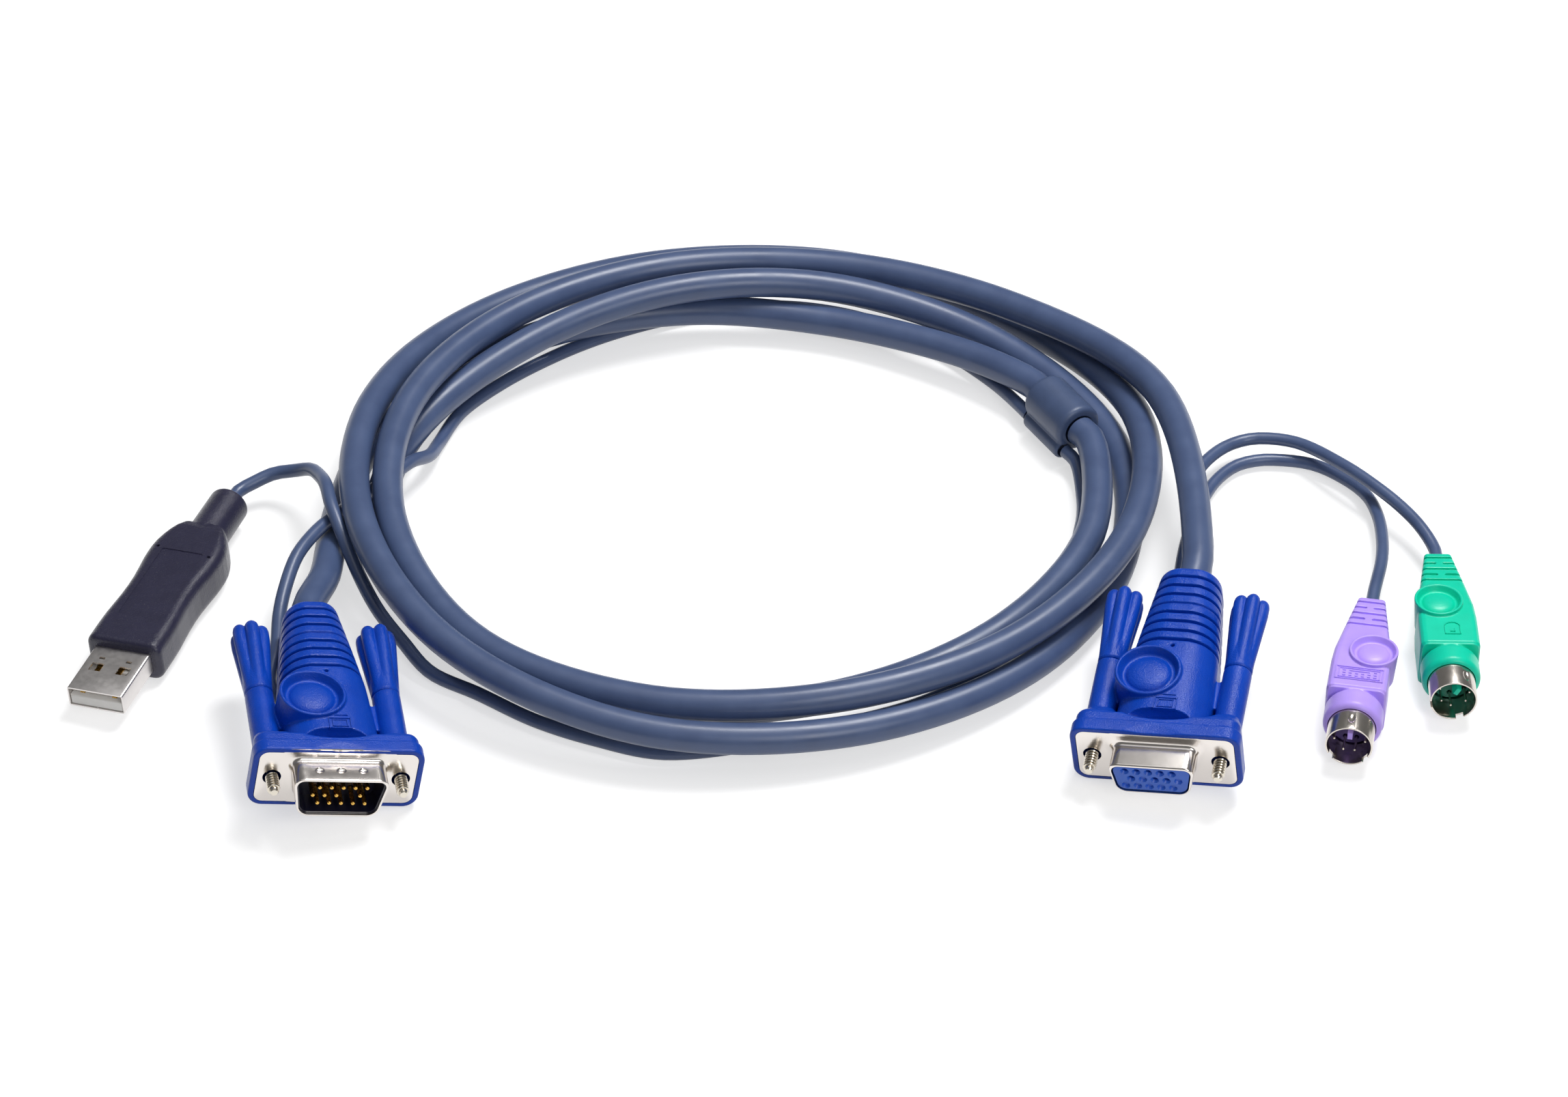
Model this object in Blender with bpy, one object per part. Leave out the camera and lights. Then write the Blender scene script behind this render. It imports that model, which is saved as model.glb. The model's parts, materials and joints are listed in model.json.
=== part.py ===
"""A KVM cable lying in a loose coil: VGA plug, VGA socket, USB plug and two PS/2 plugs.

Units are metres, Z is up. The origin is on the table under the middle of the whole cable.
Each connector is modelled along its own Y axis: y = 0 is its front face, its contacts look towards -Y and its
cord leaves towards +Y. An empty then lays it on the table.
"""
import bpy
import bmesh
from math import atan2, ceil, cos, hypot, pi, radians, sin
from mathutils import Euler, Matrix, Vector

for item in list(bpy.data.objects):
    bpy.data.objects.remove(item, do_unlink=True)

MM = 0.001

# Clearances
SEAT = 0.3 * MM             # between pieces that touch each other
PIN_FIT = 0.15 * MM         # round a pin in its hole
OUTLINE_STEPS = 3           # facets round each corner of a moulded outline

# Cords
CABLE_DIA = 6.3 * MM
USB_CORD_DIA = 2.8 * MM
PS2_CORD_DIA = 2.6 * MM
END_STEP = 2.5 * MM         # the straight step of a cord at each of its ends

# Where the drawing's centre lies from the origin, and where the connectors and the collar lie on the drawing
LAYOUT_X = 1.7 * MM
LAYOUT_Y = -4.2 * MM
MALE_X, MALE_Y = -85.6 * MM, -81.9 * MM
FEMALE_X, FEMALE_Y = 71.6 * MM, -74.9 * MM
USB_X = -130.4 * MM
USB_Y = -40.7 * MM
KEYBOARD_X, KEYBOARD_Y = 110.9 * MM, -60.0 * MM
MOUSE_X = 131.1 * MM
MOUSE_Y = -46.4 * MM
COLLAR_X, COLLAR_Y = 57.8 * MM, 35.2 * MM
TABLE_GAP = 0.1 * MM        # under whatever touches the table

# VGA hood
SCREW_SPACING = 25.0 * MM   # the usual 15-way D connector
FLANGE_WIDTH = SCREW_SPACING + 8.2 * MM
FLANGE_HEIGHT = 14.6 * MM
FLANGE_RADIUS = 3.0 * MM
FLANGE_DEPTH = 5.5 * MM
FLANGE_BAND = 3.0 * MM      # the full-size front band, the rest is set in
BAND_STEP = 0.5 * MM
BODY_WIDTH = 19.0 * MM
BODY_HEIGHT = 12.6 * MM
RELIEF_START = 23.0 * MM    # the grooved strain relief
BOOT_LENGTH = 45.7 * MM
MALE_BOOT_WIDTH = 11.1 * MM
FEMALE_BOOT_WIDTH = 12.4 * MM
BOOT_HEIGHT = 11.0 * MM
GROOVE_COUNT = 8
GROOVE_PITCH = 2.5 * MM
GROOVE_WIDTH = 0.6 * MM
GROOVE_DEPTH = 0.6 * MM

# Thumb button on the hood
BUTTON_X = -3.6 * MM
BUTTON_Y = 16.6 * MM
BUTTON_TOP = 7.1 * MM
BUTTON_DIA = 13.0 * MM
BUTTON_RIM = 0.9 * MM
BUTTON_DEPTH = 1.3 * MM
DOME_DIA = 8.7 * MM

# Front plate and its D rim
PLATE_WIDTH = FLANGE_WIDTH - 2.4 * MM
PLATE_HEIGHT = 12.55 * MM
PLATE_RADIUS = 1.8 * MM
PLATE_THICKNESS = 0.8 * MM
MALE_RIM_WIDTH = 18.0 * MM
MALE_RIM_HEIGHT = 9.5 * MM
FEMALE_RIM_WIDTH = 16.4 * MM
FEMALE_RIM_HEIGHT = 7.9 * MM
RIM_RADIUS = 2.3 * MM
RIM_WALL = 0.5 * MM
RIM_LENGTH = 5.8 * MM
RIM_SLOPE = radians(10)
INSULATOR_DEPTH = 4.0 * MM

# Contacts
PIN_PITCH = 2.29 * MM
ROW_PITCH = 1.98 * MM
PIN_DIA = 0.9 * MM
PIN_REACH = 5.2 * MM
PIN_ROOT = 2.0 * MM
SOCKET_DIA = 1.1 * MM
SOCKET_DEPTH = 4.0 * MM

# Screws and their thumb heads
SCREW_DIA = 2.84 * MM
SCREW_REACH = 4.5 * MM
SCREW_HOLE = 3.5 * MM
SLEEVE_DIA = 5.6 * MM
SLEEVE_END = 23.0 * MM
EAR_LENGTH = 17.0 * MM
EAR_THICKNESS = 3.6 * MM
KNOB_LENGTH = 18.7 * MM
KNOB_DIA = 7.8 * MM
KNOB_LOBES = 8
FLUTE_DEPTH = 0.95 * MM
SCREW_GRIP = 7.0 * MM       # how deep the screw sits in its head

# USB plug
USB_SHELL_WIDTH = 12.0 * MM
USB_SHELL_HEIGHT = 4.5 * MM
USB_SHELL_WALL = 0.3 * MM
USB_SHELL_REACH = 13.5 * MM
USB_SHELL_ROOT = 2.0 * MM
USB_TONGUE_HEIGHT = 1.9 * MM
USB_BODY_WIDTH = 16.0 * MM
USB_BODY_HEIGHT = 8.8 * MM
USB_BODY_LENGTH = 40.0 * MM
USB_NECK_DIA = 8.6 * MM
USB_LENGTH = 52.0 * MM
USB_CONTACT_PITCH = 2.3 * MM
USB_CONTACT_WIDTH = 1.0 * MM
USB_CONTACT_THICKNESS = 0.3 * MM
USB_CONTACT_LENGTH = 9.0 * MM

# PS/2 plug
DIN_DIA = 9.3 * MM
DIN_WALL = 0.4 * MM
DIN_REACH = 8.6 * MM
DIN_ROOT = 2.0 * MM
DIN_FACE = 2.5 * MM         # the insulator's face, in front of the hood
DIN_PIN_DIA = 0.8 * MM
DIN_PIN_LENGTH = 4.2 * MM
DIN_KEY_WIDTH = 1.2 * MM
DIN_KEY_HEIGHT = 1.9 * MM
DIN_KEY_REACH = 7.4 * MM
PS2_RING_DIA = 11.6 * MM
PS2_BODY_WIDTH = 11.8 * MM
PS2_BODY_HEIGHT = 11.0 * MM
PS2_BODY_END = 20.5 * MM
PS2_LENGTH = 35.0 * MM
PS2_BOOT_END_DIA = 5.2 * MM
PS2_GROOVE_COUNT = 5
PS2_GROOVE_PITCH = (PS2_LENGTH - PS2_BODY_END) / (PS2_GROOVE_COUNT + 1.6)
PS2_BUTTON_DIA = 9.5 * MM
PS2_BUTTON_TOP = 6.1 * MM
PS2_DOME_DIA = 6.2 * MM

# Collar
COLLAR_LENGTH = 13.7 * MM
COLLAR_DIA = 10.4 * MM
COLLAR_HEIGHT = 8.0 * MM    # its centre above the table
LOBE_INWARD = 3.4 * MM      # the thin cord's lobe, from the collar's centre
LOBE_DOWN = 4.2 * MM


def paint(name, colour, metallic=0.0, roughness=0.5):
    """A plain material from an sRGB colour."""
    def linear(value):
        value = value / 255
        return value / 12.92 if value <= 0.04045 else ((value + 0.055) / 1.055) ** 2.4
    material = bpy.data.materials.new(name)
    material.use_nodes = True
    surface = material.node_tree.nodes["Principled BSDF"]
    surface.inputs["Base Color"].default_value = [linear(value) for value in colour] + [1.0]
    surface.inputs["Metallic"].default_value = metallic
    surface.inputs["Roughness"].default_value = roughness
    return material


BLUE = paint("blue hood plastic", (28, 52, 190), roughness=0.5)
FACE_BLUE = paint("blue insulator plastic", (30, 85, 200), roughness=0.45)
NICKEL = paint("nickel plate", (196, 190, 180), metallic=1.0, roughness=0.25)
GOLD = paint("gold plate", (214, 170, 90), metallic=1.0, roughness=0.3)
BLACK = paint("black insulator plastic", (22, 24, 40), roughness=0.4)
USB_DARK = paint("dark overmould", (42, 42, 60), roughness=0.55)
WHITE = paint("white tongue plastic", (235, 232, 225), roughness=0.4)
PURPLE = paint("purple hood plastic", (165, 135, 235), roughness=0.45)
GREEN = paint("green hood plastic", (0, 200, 150), roughness=0.45)
GREY = paint("cable jacket", (62, 82, 102), roughness=0.35)


def outline(top, bottom, height, radius, steps=OUTLINE_STEPS, middle=0.0):
    """Round-cornered outline in X and Z, wider at the top where top and bottom differ."""
    corners = [Vector((-top / 2, height / 2)), Vector((top / 2, height / 2)),
               Vector((bottom / 2, -height / 2)), Vector((-bottom / 2, -height / 2))]
    points = []
    for number, corner in enumerate(corners):
        before = (corners[number - 1] - corner).normalized()
        after = (corners[(number + 1) % 4] - corner).normalized()
        half = before.angle(after) / 2
        middle_point = corner + (before + after).normalized() * (radius / sin(half))
        start = -before.orthogonal() if before.orthogonal().dot(after) > 0 else before.orthogonal()
        end = -after.orthogonal() if after.orthogonal().dot(before) > 0 else after.orthogonal()
        first = atan2(start.y, start.x)
        turn = (atan2(end.y, end.x) - first + pi) % (2 * pi) - pi
        for step in range(steps + 1):
            angle = first + turn * step / steps
            points.append((middle_point.x + radius * cos(angle), middle_point.y + radius * sin(angle) + middle))
    return points


def rectangle(width, height, radius, middle=0.0):
    return outline(width, width, height, radius, middle=middle)


def d_shape(width, height, radius):
    """The D of a VGA rim, wide side up."""
    narrowing = height * sin(RIM_SLOPE) / cos(RIM_SLOPE)
    return outline(width + narrowing / 2, width - 1.5 * narrowing, height, radius)


def circle(diameter, sides, x=0.0, z=0.0):
    return [(x + diameter / 2 * cos(2 * pi * side / sides), z - diameter / 2 * sin(2 * pi * side / sides))
            for side in range(sides)]


def at(y, points):
    """Lay an outline in the plane at this y."""
    return [Vector((x, y, z)) for x, z in points]


def placed(name, mesh, material, frame):
    thing = bpy.data.objects.new(name, mesh)
    bpy.context.scene.collection.objects.link(thing)
    if material:
        mesh.materials.append(material)
    thing.parent = frame
    return thing


def skin(name, rings, material=None, frame=None, loop=False, smooth=True):
    """A closed body through rings of points: capped at both ends, or joined up where loop is set."""
    body = bmesh.new()
    rows = [[body.verts.new(point) for point in ring] for ring in rings]
    pairs = list(zip(rows, rows[1:]))
    if loop:
        pairs.append((rows[-1], rows[0]))
    else:
        body.faces.new(rows[0])
        body.faces.new(rows[-1])
    for low, high in pairs:
        for side in range(len(low)):
            after = (side + 1) % len(low)
            body.faces.new((low[side], low[after], high[after], high[side]))
    bmesh.ops.recalc_face_normals(body, faces=body.faces)
    mesh = bpy.data.meshes.new(name)
    body.to_mesh(mesh)
    body.free()
    if smooth:
        mesh.shade_smooth()
        mesh.set_sharp_from_angle(angle=radians(35))
    return placed(name, mesh, material, frame)


def rod(name, x, z, diameter, start, end, sides, material=None, frame=None):
    return skin(name, [at(start, circle(diameter, sides, x, z)), at(end, circle(diameter, sides, x, z))],
                material, frame)


def turned(name, profile, sides, place, material=None, frame=None):
    """A body turned about a vertical axis, from (radius, height) pairs."""
    rings = [[Vector((place[0] + radius * cos(2 * pi * side / sides), place[1] + radius * sin(2 * pi * side / sides),
                      height)) for side in range(sides)] for radius, height in profile]
    return skin(name, rings, material, frame)


def ball(name, centre, radii, frame):
    """A cutter: a ball, or an ellipsoid."""
    body = bmesh.new()
    bmesh.ops.create_uvsphere(body, u_segments=20, v_segments=10, radius=1.0)
    bmesh.ops.scale(body, vec=radii, verts=body.verts)
    bmesh.ops.translate(body, vec=centre, verts=body.verts)
    mesh = bpy.data.meshes.new(name)
    body.to_mesh(mesh)
    body.free()
    return placed(name, mesh, None, frame)


def boxes(name, blocks, frame):
    """One cutter of several boxes, each given as its centre and its three sizes."""
    body = bmesh.new()
    for centre, size in blocks:
        made = bmesh.ops.create_cube(body, size=1.0)
        bmesh.ops.scale(body, vec=size, verts=made["verts"])
        bmesh.ops.translate(body, vec=centre, verts=made["verts"])
    mesh = bpy.data.meshes.new(name)
    body.to_mesh(mesh)
    body.free()
    return placed(name, mesh, None, frame)


def boolean(target, tool, operation):
    step = target.modifiers.new(tool.name, "BOOLEAN")
    step.operation = operation
    step.solver = "EXACT"
    step.object = tool
    tool.hide_render = True
    tool.display_type = "WIRE"


def cut(target, tool):
    boolean(target, tool, "DIFFERENCE")


def join(target, tool):
    boolean(target, tool, "UNION")


def connector(name, x, y, z, yaw, pitch=0.0, roll=0.0):
    """The empty that lays a connector on the table: rolled, then pitched, then turned."""
    frame = bpy.data.objects.new(name, None)
    bpy.context.scene.collection.objects.link(frame)
    turn = Matrix.Rotation(radians(yaw), 4, "Z")
    tilt = Matrix.Rotation(radians(pitch), 4, "X")
    lean = Matrix.Rotation(radians(roll), 4, "Y")
    frame.matrix_world = Matrix.Translation((x + LAYOUT_X, y + LAYOUT_Y, z)) @ turn @ tilt @ lean
    return frame


def resting_height(width, height, radius, roll, pitch=0.0):
    """How high the middle of a rolled outline sits when its low corner touches the table."""
    lean = abs(radians(roll))
    flat = (width / 2 - radius) * sin(lean) + (height / 2 - radius) * cos(lean) + radius
    return flat * cos(radians(pitch)) + TABLE_GAP


def grooved_boot(start, end, outline_at, grooves, pitch, width, depth):
    """Rings of a strain relief with V grooves round it, the last one a pitch from its end."""
    rings = [at(start, outline_at(start, 0.0))]
    for number in range(grooves):
        centre = end - pitch * (grooves - number)
        near, far = centre - width / 2, centre + width / 2
        rings += [at(near, outline_at(near, 0.0)), at(centre, outline_at(centre, depth)),
                  at(far, outline_at(far, 0.0))]
    return rings


def button(hood, name, frame, x, y, top, diameter, rim, depth, dome, low):
    """The round thumb button: a boss that stands up through the hood, dished round a low dome."""
    radius = diameter / 2
    boss = turned(name + "_boss", [(radius, low), (radius, top - 0.5 * MM), (radius - 0.4 * MM, top)], 16, (x, y),
                  frame=frame)
    join(hood, boss)
    floor = top - depth
    dish = turned(name + "_dish", [(0.2 * dome, floor + 0.75 * depth), (0.4 * dome, floor + 0.4 * depth),
                                   (0.5 * dome, floor), (radius - rim - 0.4 * MM, floor),
                                   (radius - rim, top + 0.2 * MM), (0.2 * dome, top + 0.2 * MM)], 16, (x, y),
                  frame=frame)
    cut(hood, dish)


def vga_hood(name, frame, boot_width, rim_width, rim_height):
    """The moulded hood: flange, arched body, grooved strain relief, screw sleeves and button in one moulding."""
    def body_outline(y, inset):
        share = max(0.0, (y - RELIEF_START) / (BOOT_LENGTH - RELIEF_START))
        early = min(1.0, max(0.0, y - FLANGE_DEPTH) / (RELIEF_START - FLANGE_DEPTH))
        width = BODY_WIDTH - 1.6 * MM * early
        width += (boot_width - width) * share ** 1.1
        height = BODY_HEIGHT + (BOOT_HEIGHT - BODY_HEIGHT) * share ** 1.5
        radius = 3.4 * MM + 1.6 * MM * share
        return rectangle(width - 2 * inset, height - 2 * inset, radius - inset * 0.8)

    inner_width = FLANGE_WIDTH - 2 * BAND_STEP
    inner_height = FLANGE_HEIGHT - 2 * BAND_STEP
    edge = 0.4 * MM
    rings = [at(0, rectangle(FLANGE_WIDTH - 2 * edge, FLANGE_HEIGHT - 2 * edge, FLANGE_RADIUS - edge)),
             at(edge, rectangle(FLANGE_WIDTH, FLANGE_HEIGHT, FLANGE_RADIUS)),
             at(FLANGE_BAND, rectangle(FLANGE_WIDTH, FLANGE_HEIGHT, FLANGE_RADIUS)),
             at(FLANGE_BAND, rectangle(inner_width, inner_height, FLANGE_RADIUS - BAND_STEP)),
             at(FLANGE_DEPTH - edge, rectangle(inner_width, inner_height, FLANGE_RADIUS - BAND_STEP)),
             at(FLANGE_DEPTH, rectangle(inner_width - 2 * edge, inner_height - 2 * edge, FLANGE_RADIUS - BAND_STEP))]
    rings += grooved_boot(FLANGE_DEPTH, BOOT_LENGTH, body_outline, GROOVE_COUNT, GROOVE_PITCH, GROOVE_WIDTH, GROOVE_DEPTH)
    rings += [at(BOOT_LENGTH - edge, body_outline(BOOT_LENGTH - edge, 0.0)),
              at(BOOT_LENGTH, body_outline(BOOT_LENGTH, edge))]
    hood = skin(name, rings, BLUE, frame)

    for side, word in ((-1, "left"), (1, "right")):
        x = side * SCREW_SPACING / 2
        inside = BODY_WIDTH / 2 - 2.0 * MM
        web_width = SCREW_SPACING / 2 - inside
        web = skin(name + "_ear_" + word,
                   [at(FLANGE_BAND, rectangle(web_width, EAR_THICKNESS, 0.5 * MM)),
                    at(EAR_LENGTH, rectangle(web_width, EAR_THICKNESS, 0.5 * MM))], frame=frame)
        web.location.x = side * (inside + web_width / 2)
        join(hood, web)
        join(hood, rod(name + "_sleeve_" + word, x, 0, SLEEVE_DIA, FLANGE_BAND, SLEEVE_END, 16, frame=frame))

    button(hood, name + "_button", frame, BUTTON_X, BUTTON_Y, BUTTON_TOP, BUTTON_DIA, BUTTON_RIM, BUTTON_DEPTH,
           DOME_DIA, 0.0)

    # The plate's pocket, the insulator's pocket and the two screw bores
    pocket = PLATE_THICKNESS + SEAT
    cut(hood, skin(name + "_plate_pocket",
                   [at(-SEAT, rectangle(PLATE_WIDTH + 2 * SEAT, PLATE_HEIGHT + 2 * SEAT, PLATE_RADIUS + SEAT)),
                    at(pocket, rectangle(PLATE_WIDTH + 2 * SEAT, PLATE_HEIGHT + 2 * SEAT, PLATE_RADIUS + SEAT))],
                   frame=frame))
    gap = 2 * SEAT - 2 * RIM_WALL
    cut(hood, skin(name + "_insulator_pocket",
                   [at(y, d_shape(rim_width + gap, rim_height + gap, RIM_RADIUS - RIM_WALL + SEAT))
                    for y in (0, INSULATOR_DEPTH + SEAT)], frame=frame))
    for side, word in ((-1, "left"), (1, "right")):
        cut(hood, rod(name + "_bore_" + word, side * SCREW_SPACING / 2, 0, SCREW_HOLE, -1 * MM,
                      SLEEVE_END + 1 * MM, 12, frame=frame))

    # The two shallow scoops in the top of the flange: one in its front edge, one behind it
    scoop = 14.0 * MM
    cut(hood, ball(name + "_front_scoop", (0, -0.4 * scoop, FLANGE_HEIGHT / 2 + 0.81 * scoop), (scoop,) * 3, frame))
    cut(hood, ball(name + "_rear_scoop", (0, FLANGE_DEPTH + 0.2 * MM, FLANGE_HEIGHT / 2),
                   (6.4 * MM, 1.2 * MM, 1.6 * MM), frame))
    return hood


def vga_plate(name, frame, rim_width, rim_height):
    """Pressed front plate and its drawn D rim, open right through, with two screw holes."""
    def rim(y, grow):
        return at(y, d_shape(rim_width + 2 * grow, rim_height + 2 * grow, RIM_RADIUS + grow))
    plate = skin(name, [rim(PLATE_THICKNESS, -RIM_WALL),
                        at(PLATE_THICKNESS, rectangle(PLATE_WIDTH, PLATE_HEIGHT, PLATE_RADIUS)),
                        at(0, rectangle(PLATE_WIDTH, PLATE_HEIGHT, PLATE_RADIUS)),
                        rim(0, 0.9 * MM), rim(-0.3 * MM, 0.35 * MM), rim(-0.9 * MM, 0.0),
                        rim(-RIM_LENGTH + 0.3 * MM, 0.0), rim(-RIM_LENGTH, -0.15 * MM),
                        rim(-RIM_LENGTH, -0.35 * MM), rim(-RIM_LENGTH + 0.3 * MM, -RIM_WALL)],
                 NICKEL, frame, loop=True)
    for side, word in ((-1, "left"), (1, "right")):
        cut(plate, rod(name + "_hole_" + word, side * SCREW_SPACING / 2, 0, SCREW_HOLE, -1 * MM, 2 * MM, 12,
                       frame=frame))
    return plate


def contact_grid(shift):
    """The three rows of five places, top row first. The middle row is moved by half a pitch."""
    places = []
    for row in range(3):
        offset = shift * PIN_PITCH / 4 * (1 if row == 1 else -1)
        places += [((column - 2) * PIN_PITCH + offset, (1 - row) * ROW_PITCH) for column in range(5)]
    return places


def drill(name, places, diameter, start, end, sides, frame):
    """One cutter with a round hole at every place."""
    body = bmesh.new()
    for x, z in places:
        rows = [[body.verts.new(point) for point in at(y, circle(diameter, sides, x, z))] for y in (start, end)]
        body.faces.new(rows[0])
        body.faces.new(reversed(rows[1]))
        for side in range(sides):
            after = (side + 1) % sides
            body.faces.new((rows[0][side], rows[1][side], rows[1][after], rows[0][after]))
    bmesh.ops.recalc_face_normals(body, faces=body.faces)
    mesh = bpy.data.meshes.new(name)
    body.to_mesh(mesh)
    body.free()
    return placed(name, mesh, None, frame)


def pin(name, x, z, diameter, start, end, frame):
    """A round contact with a chamfered tip."""
    sides = 6
    tip = 0.25 * diameter
    return skin(name, [at(start, circle(diameter - 2 * tip, sides, x, z)), at(start + tip, circle(diameter, sides, x, z)),
                       at(end, circle(diameter, sides, x, z))], GOLD, frame)


def insulator(name, frame, rim_width, rim_height, front, material):
    shrink = 2 * RIM_WALL + 2 * SEAT
    return skin(name, [at(y, d_shape(rim_width - shrink, rim_height - shrink, RIM_RADIUS - RIM_WALL - SEAT))
                       for y in (-front, INSULATOR_DEPTH)], material, frame)


def thumbscrew(name, frame, side, word):
    """A steel jackscrew and the fluted head moulded on it, both on the screw's axis."""
    axis = bpy.data.objects.new(name + "_axis_" + word, None)
    bpy.context.scene.collection.objects.link(axis)
    axis.parent = frame
    axis.location = (side * SCREW_SPACING / 2, 0, 0)
    sides = 3 * KNOB_LOBES
    seam = SLEEVE_END + SEAT
    end = seam + KNOB_LENGTH
    tip = 0.6 * MM
    skin(name + "_screw_" + word, [at(-SCREW_REACH, circle(SCREW_DIA - 2 * tip, 12)),
                                   at(-SCREW_REACH + tip, circle(SCREW_DIA, 12)),
                                   at(seam + SCREW_GRIP, circle(SCREW_DIA, 12))], NICKEL, axis)

    def lobes(y, diameter, depth):
        points = []
        for number in range(sides):
            angle = 2 * pi * number / sides
            radius = diameter / 2 - depth * (1 - abs(sin(angle * KNOB_LOBES / 2)))
            points.append((radius * cos(angle), -radius * sin(angle)))
        return at(y, points)

    bore = SCREW_DIA + 2 * PIN_FIT
    rings = [lobes(seam + SCREW_GRIP + SEAT, bore, 0), lobes(seam, bore, 0), lobes(seam, SLEEVE_DIA - 0.3 * MM, 0),
             lobes(seam + 1.5 * MM, SLEEVE_DIA, 0)]
    for share in (0.3, 0.55, 0.9):
        y = seam + 1.5 * MM + (KNOB_LENGTH - 1.5 * MM) * share
        swell = min(1.0, share / 0.75) ** 0.9
        rings.append(lobes(y, SLEEVE_DIA + (KNOB_DIA - SLEEVE_DIA) * swell, FLUTE_DEPTH * min(1.0, share / 0.5)))
    rings += [lobes(end - 0.5 * MM, KNOB_DIA - 0.5 * MM, FLUTE_DEPTH), lobes(end, KNOB_DIA - 2.0 * MM, 0.6 * FLUTE_DEPTH)]
    skin(name + "_knob_" + word, rings, BLUE, axis)


def vga_male():
    roll = 10.5
    height = resting_height(FLANGE_WIDTH, FLANGE_HEIGHT, FLANGE_RADIUS, roll)
    frame = connector("vga_male", MALE_X, MALE_Y, height, 10.2, 2.0, roll)
    hood = vga_hood("vga_male_hood", frame, MALE_BOOT_WIDTH, MALE_RIM_WIDTH, MALE_RIM_HEIGHT)
    vga_plate("vga_male_plate", frame, MALE_RIM_WIDTH, MALE_RIM_HEIGHT)
    block = insulator("vga_male_insulator", frame, MALE_RIM_WIDTH, MALE_RIM_HEIGHT, 0.4 * MM, BLACK)
    places = contact_grid(-1)
    del places[8]           # one place of the middle row is empty
    cut(block, drill("vga_male_pin_holes", places, PIN_DIA + 2 * PIN_FIT, -1 * MM, PIN_ROOT + SEAT, 6, frame))
    for number, (x, z) in enumerate(places, 1):
        pin("vga_male_pin_%02d" % number, x, z, PIN_DIA, -PIN_REACH, PIN_ROOT, frame)
    thumbscrew("vga_male", frame, -1, "left")
    thumbscrew("vga_male", frame, 1, "right")
    return frame, hood


def vga_female():
    roll = -5.9
    pitch = 8.0
    height = resting_height(FLANGE_WIDTH, FLANGE_HEIGHT, FLANGE_RADIUS, roll, pitch)
    frame = connector("vga_female", FEMALE_X, FEMALE_Y, height, -11.6, pitch, roll)
    hood = vga_hood("vga_female_hood", frame, FEMALE_BOOT_WIDTH, FEMALE_RIM_WIDTH, FEMALE_RIM_HEIGHT)
    vga_plate("vga_female_plate", frame, FEMALE_RIM_WIDTH, FEMALE_RIM_HEIGHT)
    front = RIM_LENGTH - 0.2 * MM
    block = insulator("vga_female_insulator", frame, FEMALE_RIM_WIDTH, FEMALE_RIM_HEIGHT, front, FACE_BLUE)
    cut(block, drill("vga_female_sockets", contact_grid(1), SOCKET_DIA, -front - 1 * MM, -front + SOCKET_DEPTH, 6,
                     frame))
    thumbscrew("vga_female", frame, -1, "left")
    thumbscrew("vga_female", frame, 1, "right")
    return frame, hood


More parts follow.
